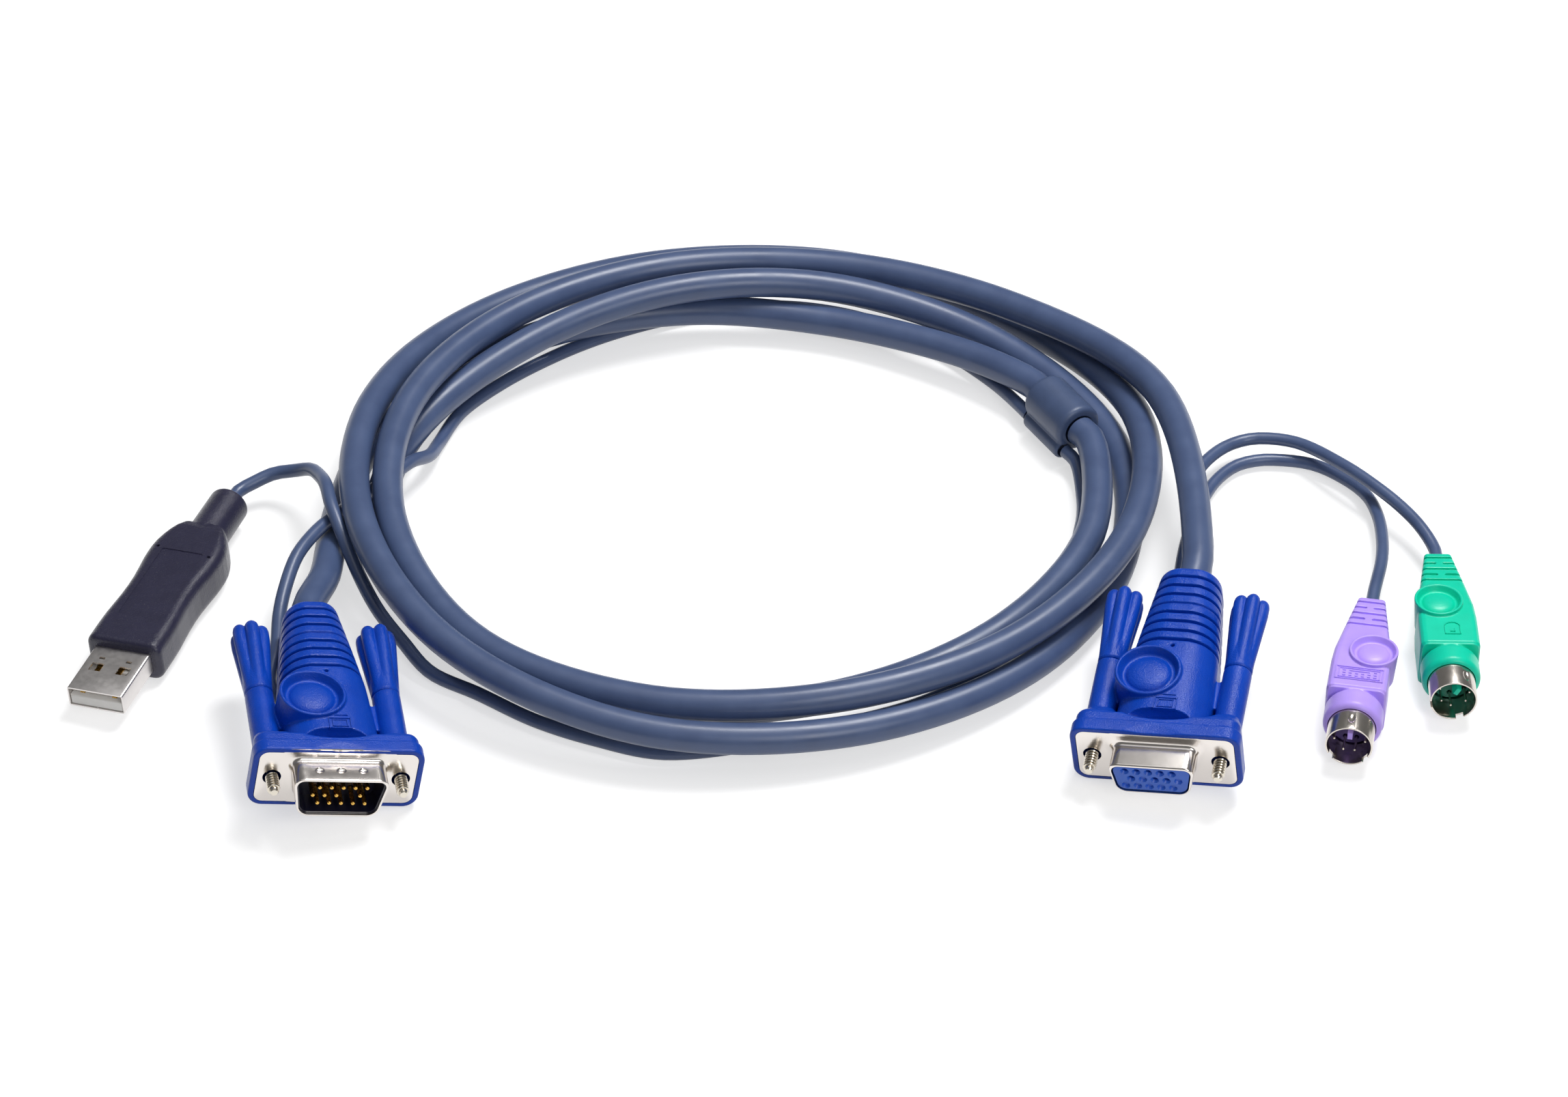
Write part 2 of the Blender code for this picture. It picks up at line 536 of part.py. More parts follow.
def usb_plug():
    """USB plug: waisted overmould with a round neck, steel shell, tongue and four contacts."""
    roll = -4.0
    height = resting_height(USB_BODY_WIDTH, USB_BODY_HEIGHT, 2.2 * MM, roll)
    frame = connector("usb", USB_X, USB_Y, height, -19.0, 0.0, roll)

    # Shares of the full width along the body give the waist and the swell behind it
    waist = ((0.0, 0.95), (0.02, 1.0), (0.15, 0.99), (0.35, 0.9), (0.5, 0.9), (0.65, 0.98), (0.78, 1.0),
             (0.88, 0.94), (0.96, 0.8), (1.0, 0.66))
    rings = []
    for along, share in waist:
        thin = 1.0 if 0.01 < along < 0.99 else 0.93
        rings.append(at(along * USB_BODY_LENGTH,
                        rectangle(USB_BODY_WIDTH * share, USB_BODY_HEIGHT * thin, 2.2 * MM)))
    neck = USB_NECK_DIA
    rings += [at(USB_BODY_LENGTH, rectangle(neck - 0.4 * MM, neck - 0.4 * MM, neck / 2 - 0.3 * MM)),
              at(USB_LENGTH - 0.5 * MM, rectangle(neck - 0.4 * MM, neck - 0.4 * MM, neck / 2 - 0.3 * MM)),
              at(USB_LENGTH, rectangle(neck - 1.4 * MM, neck - 1.4 * MM, neck / 2 - 0.8 * MM))]
    body = skin("usb_overmould", rings, USB_DARK, frame)
    hole = 2 * SEAT
    cut(body, skin("usb_shell_pocket", [at(y, rectangle(USB_SHELL_WIDTH + hole, USB_SHELL_HEIGHT + hole, 0.8 * MM))
                                        for y in (-1 * MM, USB_SHELL_ROOT + SEAT)], frame=frame))
    cut(body, boxes("usb_label_recess", [((0, 0.42 * USB_BODY_LENGTH, USB_BODY_HEIGHT / 2),
                                          (8.4 * MM, 16.0 * MM, 0.5 * MM))], frame))

    shell = skin("usb_shell", [at(y, rectangle(USB_SHELL_WIDTH - 2 * wall, USB_SHELL_HEIGHT - 2 * wall,
                                               0.5 * MM - 0.6 * wall))
                               for y, wall in ((-USB_SHELL_REACH, 0.0), (USB_SHELL_ROOT, 0.0),
                                               (USB_SHELL_ROOT, USB_SHELL_WALL),
                                               (-USB_SHELL_REACH, USB_SHELL_WALL))], NICKEL, frame, loop=True)
    windows = [((side * 2.9 * MM, -6.2 * MM, USB_SHELL_HEIGHT / 2), (2.4 * MM, 2.2 * MM, 1.0 * MM))
               for side in (-1, 1)]
    slots = [((side * 2.9 * MM, -3.4 * MM, USB_SHELL_HEIGHT / 2), (1.2 * MM, 0.6 * MM, 1.0 * MM))
             for side in (-1, 1)]
    cut(shell, boxes("usb_shell_windows", windows + slots, frame))

    inner = USB_SHELL_HEIGHT / 2 - USB_SHELL_WALL - SEAT
    tongue_top = -inner + USB_TONGUE_HEIGHT
    tongue_width = USB_SHELL_WIDTH - 2 * USB_SHELL_WALL - 2 * SEAT
    skin("usb_tongue", [at(y, rectangle(tongue_width, USB_TONGUE_HEIGHT, 0.2 * MM, tongue_top - USB_TONGUE_HEIGHT / 2))
                        for y in (-USB_SHELL_REACH + 0.6 * MM, USB_SHELL_ROOT - SEAT)], WHITE, frame)
    for number in range(4):
        x = (number - 1.5) * USB_CONTACT_PITCH
        front = -USB_SHELL_REACH + (1.4 * MM if number in (0, 3) else 2.4 * MM)
        strip = [at(y, rectangle(USB_CONTACT_WIDTH, USB_CONTACT_THICKNESS, 0.1 * MM,
                                 tongue_top + SEAT + USB_CONTACT_THICKNESS / 2))
                 for y in (front, front + USB_CONTACT_LENGTH)]
        contact = skin("usb_contact_%d" % (number + 1), strip, GOLD, frame)
        contact.location.x = x
    return frame


def ps2_plug(name, colour, frame, key_turn, button_x, button_y):
    """PS/2 plug: round nose ring, faceted body, button, slotted boot, shell, insulator with its key, six pins."""
    def boot_outline(y, inset):
        share = (y - PS2_BODY_END) / (PS2_LENGTH - PS2_BODY_END)
        size = PS2_BODY_WIDTH - 2.4 * MM + (PS2_BOOT_END_DIA - PS2_BODY_WIDTH + 2.4 * MM) * share
        return rectangle(size - 2 * inset, size - 2 * inset, (0.3 + 0.15 * share) * size - inset)

    ring = PS2_RING_DIA
    edge = 0.6 * MM
    round_ring = [(0.0, ring - 2 * edge), (0.3 * edge, ring - 0.7 * edge), (edge, ring), (1.9 * MM, ring),
                  (2.6 * MM, ring - 0.6 * MM), (3.0 * MM, ring - 1.4 * MM)]
    rings = [at(y, rectangle(size, size, size * 0.48)) for y, size in round_ring]
    rings += [at(3.0 * MM, rectangle(PS2_BODY_WIDTH - 0.8 * MM, PS2_BODY_HEIGHT - 0.6 * MM, 1.2 * MM)),
              at(3.6 * MM, rectangle(PS2_BODY_WIDTH, PS2_BODY_HEIGHT, 1.2 * MM)),
              at(14.0 * MM, rectangle(PS2_BODY_WIDTH, PS2_BODY_HEIGHT, 1.4 * MM))]
    rings += grooved_boot(PS2_BODY_END, PS2_LENGTH, boot_outline, PS2_GROOVE_COUNT, PS2_GROOVE_PITCH, GROOVE_WIDTH,
                          0.5 * MM)
    rings += [at(PS2_LENGTH - 0.3 * MM, boot_outline(PS2_LENGTH - 0.3 * MM, 0.0)),
              at(PS2_LENGTH, boot_outline(PS2_LENGTH, 0.3 * MM))]
    hood = skin(name + "_hood", rings, colour, frame)
    button(hood, name + "_button", frame, button_x, button_y, PS2_BUTTON_TOP, PS2_BUTTON_DIA, 0.9 * MM, 1.0 * MM,
           PS2_DOME_DIA, 0.0)
    cut(hood, rod(name + "_shell_pocket", 0, 0, DIN_DIA + 2 * SEAT, -1 * MM, DIN_ROOT + SEAT, 20, frame=frame))

    inside = DIN_DIA - 2 * DIN_WALL
    shell = skin(name + "_shell", [at(y, circle(size, 20)) for y, size in (
        (DIN_ROOT, DIN_DIA), (-DIN_REACH + 0.15 * MM, DIN_DIA), (-DIN_REACH, DIN_DIA - 0.3 * MM),
        (-DIN_REACH, inside), (DIN_ROOT, inside))], NICKEL, frame, loop=True)
    notches = []
    for angle in (-50, 50, 180):
        x, z = sin(radians(angle)), -cos(radians(angle))
        if angle != 180:
            notches.append(((x * DIN_DIA / 2, -DIN_REACH, z * DIN_DIA / 2), (1.6 * MM, 2.6 * MM, 1.6 * MM)))
    cut(shell, boxes(name + "_notches", notches, frame))

    block_dia = inside - 2 * SEAT
    block = rod(name + "_insulator", 0, 0, block_dia, -DIN_FACE, DIN_ROOT - SEAT, 20, colour, frame)
    key = boxes(name + "_key", [((0, 0, 0), (DIN_KEY_WIDTH, DIN_KEY_REACH - 1 * MM, DIN_KEY_HEIGHT))], frame)
    key.rotation_euler = Euler((0, radians(key_turn), 0))
    key.location = (1.5 * MM * sin(radians(key_turn)), -DIN_KEY_REACH / 2 - 0.5 * MM, 1.5 * MM * cos(radians(key_turn)))
    join(block, key)
    places = [(x * MM, z * MM) for x, z in ((-2.4, 2.2), (2.4, 2.2), (-3.0, 0.0), (3.0, 0.0), (-1.1, -2.4), (1.1, -2.4))]
    turn = radians(-key_turn)
    places = [(x * cos(turn) - z * sin(turn), x * sin(turn) + z * cos(turn)) for x, z in places]
    cut(block, drill(name + "_pin_holes", places, DIN_PIN_DIA + 2 * PIN_FIT, -DIN_FACE - 1 * MM,
                     -DIN_FACE + 2 * MM + SEAT, 6, frame))
    for number, (x, z) in enumerate(places, 1):
        pin("%s_pin_%d" % (name, number), x, z, DIN_PIN_DIA, -DIN_FACE - DIN_PIN_LENGTH, -DIN_FACE + 2 * MM, frame)


def route(points, spacing):
    """A smooth curve through the points, read off evenly."""
    points = [Vector(point) for point in points]
    ends = [2 * points[0] - points[1]] + points + [2 * points[-1] - points[-2]]
    fine = []
    for number in range(1, len(points)):
        a, b, c, d = ends[number - 1:number + 3]
        knots = [0.0]
        for first, second in ((a, b), (b, c), (c, d)):
            knots.append(knots[-1] + max(1e-6, (second - first).length) ** 0.5)
        for step in range(16):
            t = knots[1] + (knots[2] - knots[1]) * step / 16
            ab = a.lerp(b, (t - knots[0]) / (knots[1] - knots[0]))
            bc = b.lerp(c, (t - knots[1]) / (knots[2] - knots[1]))
            cd = c.lerp(d, (t - knots[2]) / (knots[3] - knots[2]))
            low = ab.lerp(bc, (t - knots[0]) / (knots[2] - knots[0]))
            high = bc.lerp(cd, (t - knots[1]) / (knots[3] - knots[1]))
            fine.append(low.lerp(high, (t - knots[1]) / (knots[2] - knots[1])))
    fine.append(points[-1])
    lengths = [0.0]
    for first, second in zip(fine, fine[1:]):
        lengths.append(lengths[-1] + (second - first).length)
    # A short step at each end keeps the cord's end faces square to the way it leaves
    whole = lengths[-1]
    count = max(2, ceil(whole / spacing))
    wants = [0.0, END_STEP] + [whole * number / count for number in range(1, count)] + [whole - END_STEP, whole]
    even = []
    place = 0
    for want in wants:
        while place < len(fine) - 2 and lengths[place + 1] < want:
            place += 1
        share = (want - lengths[place]) / max(1e-9, lengths[place + 1] - lengths[place])
        even.append(fine[place].lerp(fine[place + 1], min(1.0, share)))
    return even


def cord(name, points, diameter, spacing):
    """A round cord as a bevelled curve with filled ends."""
    curve = bpy.data.curves.new(name, "CURVE")
    curve.dimensions = "3D"
    curve.bevel_depth = diameter / 2
    curve.bevel_resolution = 2
    curve.use_fill_caps = True
    line = curve.splines.new("POLY")
    way = route(points, spacing)
    line.points.add(len(way) - 1)
    for number, point in enumerate(way):
        line.points[number].co = (*point, 1.0)
    curve.materials.append(GREY)
    thing = bpy.data.objects.new(name, curve)
    bpy.context.scene.collection.objects.link(thing)
    return thing


def mm(*points):
    """Route points given in millimetres on the drawing."""
    return [Vector((x * MM + LAYOUT_X, y * MM + LAYOUT_Y, z * MM)) for x, y, z in points]


def leave(frame, y, step=0.0, x=0.0, z=0.0):
    """The point where a cord meets the end of a connector, or a step further along its axis."""
    return frame.matrix_world @ Vector((x, y + SEAT + step, z))


def outlet(hood, name, frame, start, toward, diameter):
    """A cord's blind hole in the underside of a hood, and the cord's first points in it."""
    start, toward = Vector(start), Vector(toward)
    way = (toward - start).normalized()
    across = way.orthogonal().normalized()
    up = way.cross(across)
    rings = [[start + way * reach + (across * x + up * z) for x, z in circle(diameter + 2 * SEAT, 12)]
             for reach in (0, (toward - start).length)]
    cut(hood, skin(name, rings, frame=frame))
    return [frame.matrix_world @ (start + way * SEAT), frame.matrix_world @ start.lerp(toward, 0.5),
            frame.matrix_world @ toward]


# The coil's centre, and its turns read clockwise from the left: each pair is how far out the cable lies from the
# centre and how high its middle is, in millimetres, every 30 degrees. The turns start at 165 degrees.
COIL_CENTRE = (-7.0, 12.0)
COIL_START = 165
COIL_STEP = 30
TURN_ONE = [(80.5, 3.5), (70.5, 5.8), (62.5, 6.6), (60.5, 5.5), (63.5, 7)]
TURN_TWO = [(71, 8), (69, 8), (68, 6.5), (70, 5), (73.5, 4), (77.5, 3.5), (73, 5.6), (64, 10.8), (61, 13.4),
            (65.5, 10.8), (72.8, 5.5), (77.8, 3.4)]
TURN_THREE = [(78, 3.5), (78.5, 5), (79.5, 7), (82, 9.5), (82.5, 13), (81, 15), (80.5, 13), (81, 8),
              (82, 5), (83, 4), (82.8, 3.8), (83, 8.9)]
TURN_FOUR = [(79.5, 11.4), (75.5, 11), (74, 11.5), (74.5, 10.5), (76, 10.5), (74.5, 12.8), (73, 14), (71.5, 13),
             (72, 11.5), (74, 10.5), (78.5, 11.5), (87, 14.9)]


def coil(turns, first):
    """Route points of the coil's turns, from the station that the turns start at."""
    points = []
    for number, (out, height) in enumerate(turns):
        angle = radians(COIL_START - COIL_STEP * (first + number))
        points.append((COIL_CENTRE[0] + out * cos(angle), COIL_CENTRE[1] + out * sin(angle), height))
    return mm(*points)


def collar(heading):
    """The moulded collar: a short sleeve round the thick cable, with a lobe for the thin one beside it."""
    frame = connector("collar", COLLAR_X, COLLAR_Y, COLLAR_HEIGHT, heading)
    half = COLLAR_LENGTH / 2
    edge = 0.7 * MM
    sleeve = skin("collar_sleeve", [at(y, circle(size, 16)) for y, size in (
        (-half, COLLAR_DIA - 2 * edge), (-half + 0.3 * edge, COLLAR_DIA - 0.7 * edge), (-half + edge, COLLAR_DIA),
        (half - edge, COLLAR_DIA), (half - 0.3 * edge, COLLAR_DIA - 0.7 * edge), (half, COLLAR_DIA - 2 * edge))],
        GREY, frame)
    lobe_dia = USB_CORD_DIA + 1.6 * MM
    lobe = skin("collar_lobe", [at(y, circle(size, 12, LOBE_INWARD, -LOBE_DOWN)) for y, size in (
        (-half + 0.2 * edge, lobe_dia - edge), (-half + edge, lobe_dia), (half - edge, lobe_dia),
        (half - 0.2 * edge, lobe_dia - edge))], frame=frame)
    join(sleeve, lobe)
    return frame


# The connectors, the collar and the cords between them
male, male_hood = vga_male()
female, female_hood = vga_female()
usb = usb_plug()
purple = connector("ps2_keyboard", KEYBOARD_X, KEYBOARD_Y, PS2_RING_DIA / 2 + TABLE_GAP, -10.6, -1.0)
ps2_plug("ps2_keyboard", PURPLE, purple, 0, 2.2 * MM, 14.3 * MM)
green = connector("ps2_mouse", MOUSE_X, MOUSE_Y, PS2_RING_DIA / 2 + TABLE_GAP, -1.0, -1.0)
ps2_plug("ps2_mouse", GREEN, green, 30, -1.5 * MM, 15.8 * MM)
sleeve = collar(-150)
bpy.context.view_layer.update()

half = COLLAR_LENGTH / 2
cord("cable_male_to_collar",
     [leave(male, BOOT_LENGTH), leave(male, BOOT_LENGTH, 7 * MM)]
     + mm((-91.9, -20.5, 9.3), (-91.6, -11.3, 7.6), (-91.4, 2.4, 4.8), (-90.4, 11.6, 3.8))
     + coil(TURN_ONE, 0) + [leave(sleeve, -half, -2 * SEAT - 4 * MM), leave(sleeve, -half, -2 * SEAT)],
     CABLE_DIA, 16 * MM)
cord("cable_coil",
     [leave(sleeve, half), leave(sleeve, half, 4 * MM)]
     + coil(TURN_TWO, 6) + coil(TURN_THREE, 18) + coil(TURN_FOUR, 30)
     + [leave(female, BOOT_LENGTH, 8 * MM), leave(female, BOOT_LENGTH)],
     CABLE_DIA, 18.5 * MM)

usb_start = outlet(male_hood, "usb_cord_outlet", male, (-5.0 * MM, 19.0 * MM, -4.6 * MM),
                   (-8.2 * MM, 34.6 * MM, -6.6 * MM), USB_CORD_DIA)
cord("usb_cord_to_collar",
     usb_start
     + mm((-100.2, -40, 7), (-100.3, -30.9, 8), (-99.5, -24, 9.5), (-97.6, -16.1, 11.2), (-94.4, -8.9, 11.4),
          (-91.6, -4.1, 11.0), (-89.0, 0.5, 10.0), (-84.5, 7, 9.2), (-81, 12, 8.8), (-76.8, 18.5, 8),
          (-73.5, 25, 4.5), (-72, 32.5, 1.8), (-68, 43, 1.7), (-60, 53, 1.7), (-50, 62, 1.7), (-40, 69, 1.7),
          (-28, 75, 1.7), (-14, 79.5, 1.7), (0, 80.6, 1.7), (14, 77.5, 1.7), (26, 71, 1.7), (36, 63, 1.7),
          (44, 54, 1.7))
     + [leave(sleeve, -half, -2 * SEAT - 4 * MM, LOBE_INWARD, -LOBE_DOWN),
        leave(sleeve, -half, -2 * SEAT, LOBE_INWARD, -LOBE_DOWN)],
     USB_CORD_DIA, 8.4 * MM)
cord("usb_cord_to_plug",
     [leave(sleeve, half, 0, LOBE_INWARD, -LOBE_DOWN), leave(sleeve, half, 4 * MM, LOBE_INWARD, -LOBE_DOWN)]
     + mm((61.5, 15.2, 1.7), (61.3, 8.4, 1.7), (60.2, 1.8, 1.7), (59, -6, 1.7), (56.5, -15, 1.7), (52, -25, 1.7),
          (45.5, -34.5, 1.7), (37, -43.5, 1.7), (26, -51, 1.7), (13.6, -56.2, 1.7), (4.3, -59.3, 1.7),
          (-6.4, -62.9, 1.7), (-23.6, -65.4, 1.7), (-37, -61.3, 1.7), (-48.6, -55.8, 1.7), (-60.3, -47.6, 1.7),
          (-70, -41.4, 2), (-75.8, -33.8, 3.5), (-81.2, -25.6, 5), (-85, -18.9, 8), (-88.6, -11.1, 12),
          (-91.4, -3.9, 14.6), (-92.8, 2.4, 14.4), (-94.5, 8, 12.5), (-96.9, 12.8, 10.5), (-100.7, 15.5, 8),
          (-105, 16.4, 6.5), (-109.2, 14.5, 5.5))
     + [leave(usb, USB_LENGTH, 4 * MM), leave(usb, USB_LENGTH)],
     USB_CORD_DIA, 8.4 * MM)

keyboard_start = outlet(female_hood, "keyboard_cord_outlet", female, (-2.4 * MM, 20.0 * MM, -4.4 * MM),
                        (-1.8 * MM, 34.0 * MM, -9.0 * MM), PS2_CORD_DIA)
cord("ps2_keyboard_cord",
     keyboard_start
     + mm((79.0, -20, 1.7), (82.0, 0, 1.7), (86.6, 14.8, 1.7), (90, 21.2, 1.7), (94, 25.3, 1.7), (98, 26.9, 1.7),
          (101.4, 27.2, 1.7), (109.4, 25.6, 1.8), (115.7, 20.6, 2.0), (119.8, 14.9, 2.2), (121.5, 7.1, 3),
          (121.6, -2, 4), (120.7, -10.2, 5))
     + [leave(purple, PS2_LENGTH, 5 * MM), leave(purple, PS2_LENGTH)],
     PS2_CORD_DIA, 7.8 * MM)
mouse_start = outlet(female_hood, "mouse_cord_outlet", female, (2.4 * MM, 20.0 * MM, -4.4 * MM),
                     (3.0 * MM, 34.0 * MM, -9.0 * MM), PS2_CORD_DIA)
cord("ps2_mouse_cord",
     mouse_start
     + mm((84.0, -20, 2.0), (86, -3, 4.2), (85, 8, 4.9), (85.0, 18.2, 4.9), (90.2, 26.4, 4.8), (95.4, 30, 4.6),
          (99.7, 30.2, 5), (106.5, 28, 5.5), (115.3, 18.5, 7), (120.7, 12.2, 7), (125.6, 6, 6.5),
          (129.4, -0.5, 6))
     + [leave(green, PS2_LENGTH, 4 * MM), leave(green, PS2_LENGTH)],
     PS2_CORD_DIA, 7.8 * MM)
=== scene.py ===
import json
from math import atan2, cos, pi, radians, sin

import bmesh
import bpy
from mathutils import Matrix, Vector

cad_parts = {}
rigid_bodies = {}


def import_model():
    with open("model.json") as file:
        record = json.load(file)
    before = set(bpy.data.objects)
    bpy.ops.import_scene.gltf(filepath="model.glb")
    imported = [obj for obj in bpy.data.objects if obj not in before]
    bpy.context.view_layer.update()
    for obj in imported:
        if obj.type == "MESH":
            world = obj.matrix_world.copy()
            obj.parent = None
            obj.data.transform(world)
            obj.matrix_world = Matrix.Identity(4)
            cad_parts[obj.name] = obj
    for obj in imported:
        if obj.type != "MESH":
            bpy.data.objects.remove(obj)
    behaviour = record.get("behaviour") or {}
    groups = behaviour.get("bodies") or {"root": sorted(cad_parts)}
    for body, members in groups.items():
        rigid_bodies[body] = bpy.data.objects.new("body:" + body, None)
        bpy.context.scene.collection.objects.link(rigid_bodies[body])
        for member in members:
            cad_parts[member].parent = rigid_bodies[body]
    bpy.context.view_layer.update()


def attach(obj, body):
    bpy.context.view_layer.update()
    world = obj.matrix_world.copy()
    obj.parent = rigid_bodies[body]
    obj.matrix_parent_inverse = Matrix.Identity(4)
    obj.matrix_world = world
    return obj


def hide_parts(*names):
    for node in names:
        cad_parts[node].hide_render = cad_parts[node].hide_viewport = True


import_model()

# ---------------------------------------------------------------- camera, table and light
# The cable lies on a white table top and is seen from the front, 39 degrees above the table, through a long lens.
# The table is matt white laminate, so it takes only a soft grey shadow from the cable.
MM = 0.001
DRAWING = Vector((1.7 * MM, -4.2 * MM, 0))
PHOTO_WIDTH = 2296
FOCAL_LENGTH = 8000
LOOK_DOWN = 39


def linear(colour):
    """A colour written as sRGB hex, as linear light."""
    parts = [int(colour[k:k + 2], 16) / 255 for k in (1, 3, 5)]
    return [p / 12.92 if p <= 0.04045 else ((p + 0.055) / 1.055) ** 2.4 for p in parts] + [1.0]


def node(tree, kind, settings=None, **inputs):
    """Add a node; an input is a plain value, or another node's output to link to it."""
    new = tree.nodes.new(kind)
    for key, value in (settings or {}).items():
        setattr(new, key, value)
    for key, value in inputs.items():
        socket = new.inputs[int(key[1:])] if key[0] == "i" and key[1:].isdigit() else new.inputs[key.replace("_", " ")]
        if isinstance(value, bpy.types.NodeSocket):
            tree.links.new(value, socket)
        else:
            socket.default_value = value
    return new


def surface(name, colour, roughness, metallic=0.0, ior=1.5):
    """A new material on one Principled shader, returned with its node tree and that shader."""
    material = bpy.data.materials.new(name)
    material.use_nodes = True
    tree = material.node_tree
    shader = tree.nodes["Principled BSDF"]
    shader.inputs["Base Color"].default_value = linear(colour)
    shader.inputs["Roughness"].default_value = roughness
    shader.inputs["Metallic"].default_value = metallic
    shader.inputs["IOR"].default_value = ior
    return material, tree, shader


camera = bpy.data.objects.new("camera", bpy.data.cameras.new("camera"))
bpy.context.scene.collection.objects.link(camera)
camera.data.sensor_width = 36.0
camera.data.lens = camera.data.sensor_width * FOCAL_LENGTH / PHOTO_WIDTH
camera.location = DRAWING + Vector((0, -0.8663, 0.7015))
camera.rotation_euler = (radians(90 - LOOK_DOWN), 0, 0)
camera.data.clip_end = 20
bpy.context.scene.camera = camera
bpy.context.scene.view_settings.view_transform = "Standard"

bpy.ops.object.select_all(action="DESELECT")
bpy.ops.mesh.primitive_plane_add(size=8.0, location=(0, 0, -0.0001))
table = bpy.context.object
table.name = "table_top"
white, tree, shader = surface("matt white laminate", "#C4C4C4", 0.9)
shader.inputs["Specular IOR Level"].default_value = 0.0
# The table glows to the camera and to polished metal, so that it stays white as in a light tent, with a faint shadow
path = node(tree, "ShaderNodeLightPath")
seen = node(tree, "ShaderNodeMath", {"operation": "MAXIMUM"}, i0=path.outputs["Is Camera Ray"],
            i1=path.outputs["Is Glossy Ray"])
glow = node(tree, "ShaderNodeMath", {"operation": "MULTIPLY"}, i0=seen.outputs[0], i1=0.6)
shader.inputs["Emission Color"].default_value = (1, 1, 1, 1)
tree.links.new(glow.outputs[0], shader.inputs["Emission Strength"])
table.data.materials.append(white)

world = bpy.data.worlds.new("white room")
bpy.context.scene.world = world
world.use_nodes = True
tree = world.node_tree
# A pale room, bright overhead and dim near the horizon, so that polished metal has something dark to reflect
up = node(tree, "ShaderNodeSeparateXYZ", Vector=node(tree, "ShaderNodeTexCoord").outputs["Generated"])
level = node(tree, "ShaderNodeMapRange", {"interpolation_type": "SMOOTHSTEP"}, i0=up.outputs["Z"], i1=0.8, i2=1.0,
             i3=0.16, i4=1.0)
tree.nodes["Background"].inputs["Color"].default_value = (1, 1, 1, 1)
tree.links.new(level.outputs[0], tree.nodes["Background"].inputs["Strength"])


def softbox(name, place, target, width, height, power):
    lamp = bpy.data.lights.new(name, "AREA")
    lamp.shape = "RECTANGLE"
    lamp.size, lamp.size_y = width, height
    lamp.energy = power
    thing = bpy.data.objects.new(name, lamp)
    thing.location = place
    thing.rotation_euler = (Vector(target) - Vector(place)).to_track_quat("-Z", "Y").to_euler()
    bpy.context.scene.collection.objects.link(thing)


softbox("overhead softbox", (0.29, 0.32, 1.06), (0, 0, 0), 0.4, 0.4, 9.5)
softbox("front softbox", (0.5, -0.9, 0.75), (0, 0, 0), 0.5, 0.5, 4.0)

# ---------------------------------------------------------------- thick cable and thin cords
# A thick VGA cable of 6.3 mm runs from the male plug through the collar and three and a half turns of a loose coil to
# the female plug. A 2.8 mm USB cord shares the collar, and two 2.6 mm cords lead to the keyboard and mouse plugs.
# All are extruded PVC jackets over stranded copper, slate blue-grey and a little glossy.
CABLE_DIA = 6.3 * MM
USB_CORD_DIA = 2.8 * MM
PS2_CORD_DIA = 2.6 * MM
SEAT = 0.3 * MM


def stand(x, y, z, yaw, pitch=0.0, roll=0.0):
    """Where a connector lies: its own Y axis runs from its front face to its cord."""
    return (Matrix.Translation(DRAWING + Vector((x * MM, y * MM, z * MM))) @ Matrix.Rotation(radians(yaw), 4, "Z")
            @ Matrix.Rotation(radians(pitch), 4, "X") @ Matrix.Rotation(radians(roll), 4, "Y"))


def lifted(width, height, radius, roll, pitch=0.0):
    """The height in millimetres at which a rolled outline just touches the table."""
    lean = abs(radians(roll))
    flat = (width / 2 - radius) * sin(lean) + (height / 2 - radius) * cos(lean) + radius
    return flat * cos(radians(pitch)) + 0.1


MALE = stand(-85.6, -81.9, lifted(33.2, 14.6, 3.0, 10.5), 10.2, 2.0, 10.5)
FEMALE = stand(71.6, -74.9, lifted(33.2, 14.6, 3.0, 5.9, 8.0), -11.6, 8.0, -5.9)
USB = stand(-130.4, -40.7, lifted(16.0, 8.8, 2.2, 4.0), -19.0, 0.0, -4.0)
KEYBOARD = stand(110.9, -60.0, 5.9, -10.6, -1.0)
MOUSE = stand(131.1, -46.4, 5.9, -1.0, -1.0)
COLLAR = stand(57.8, 35.2, 8.0, -150)
HALF_COLLAR = 13.7 / 2


def along(place, y, x=0.0, z=0.0):
    """A route point given in millimetres on a connector."""
    return place @ Vector((x * MM, y * MM, z * MM))


def drawn(*points):
    """Route points given in millimetres on the drawing."""
    return [DRAWING + Vector(point) * MM for point in points]


def coil(first, *stations):
    """Route points of the coil every 30 degrees clockwise from the left, each as its distance out and its height."""
    points = []
    for number, (out, height) in enumerate(stations, first):
        angle = radians(165 - 30 * number)
        points += drawn((-7.0 + out * cos(angle), 12.0 + out * sin(angle), height))
    return points


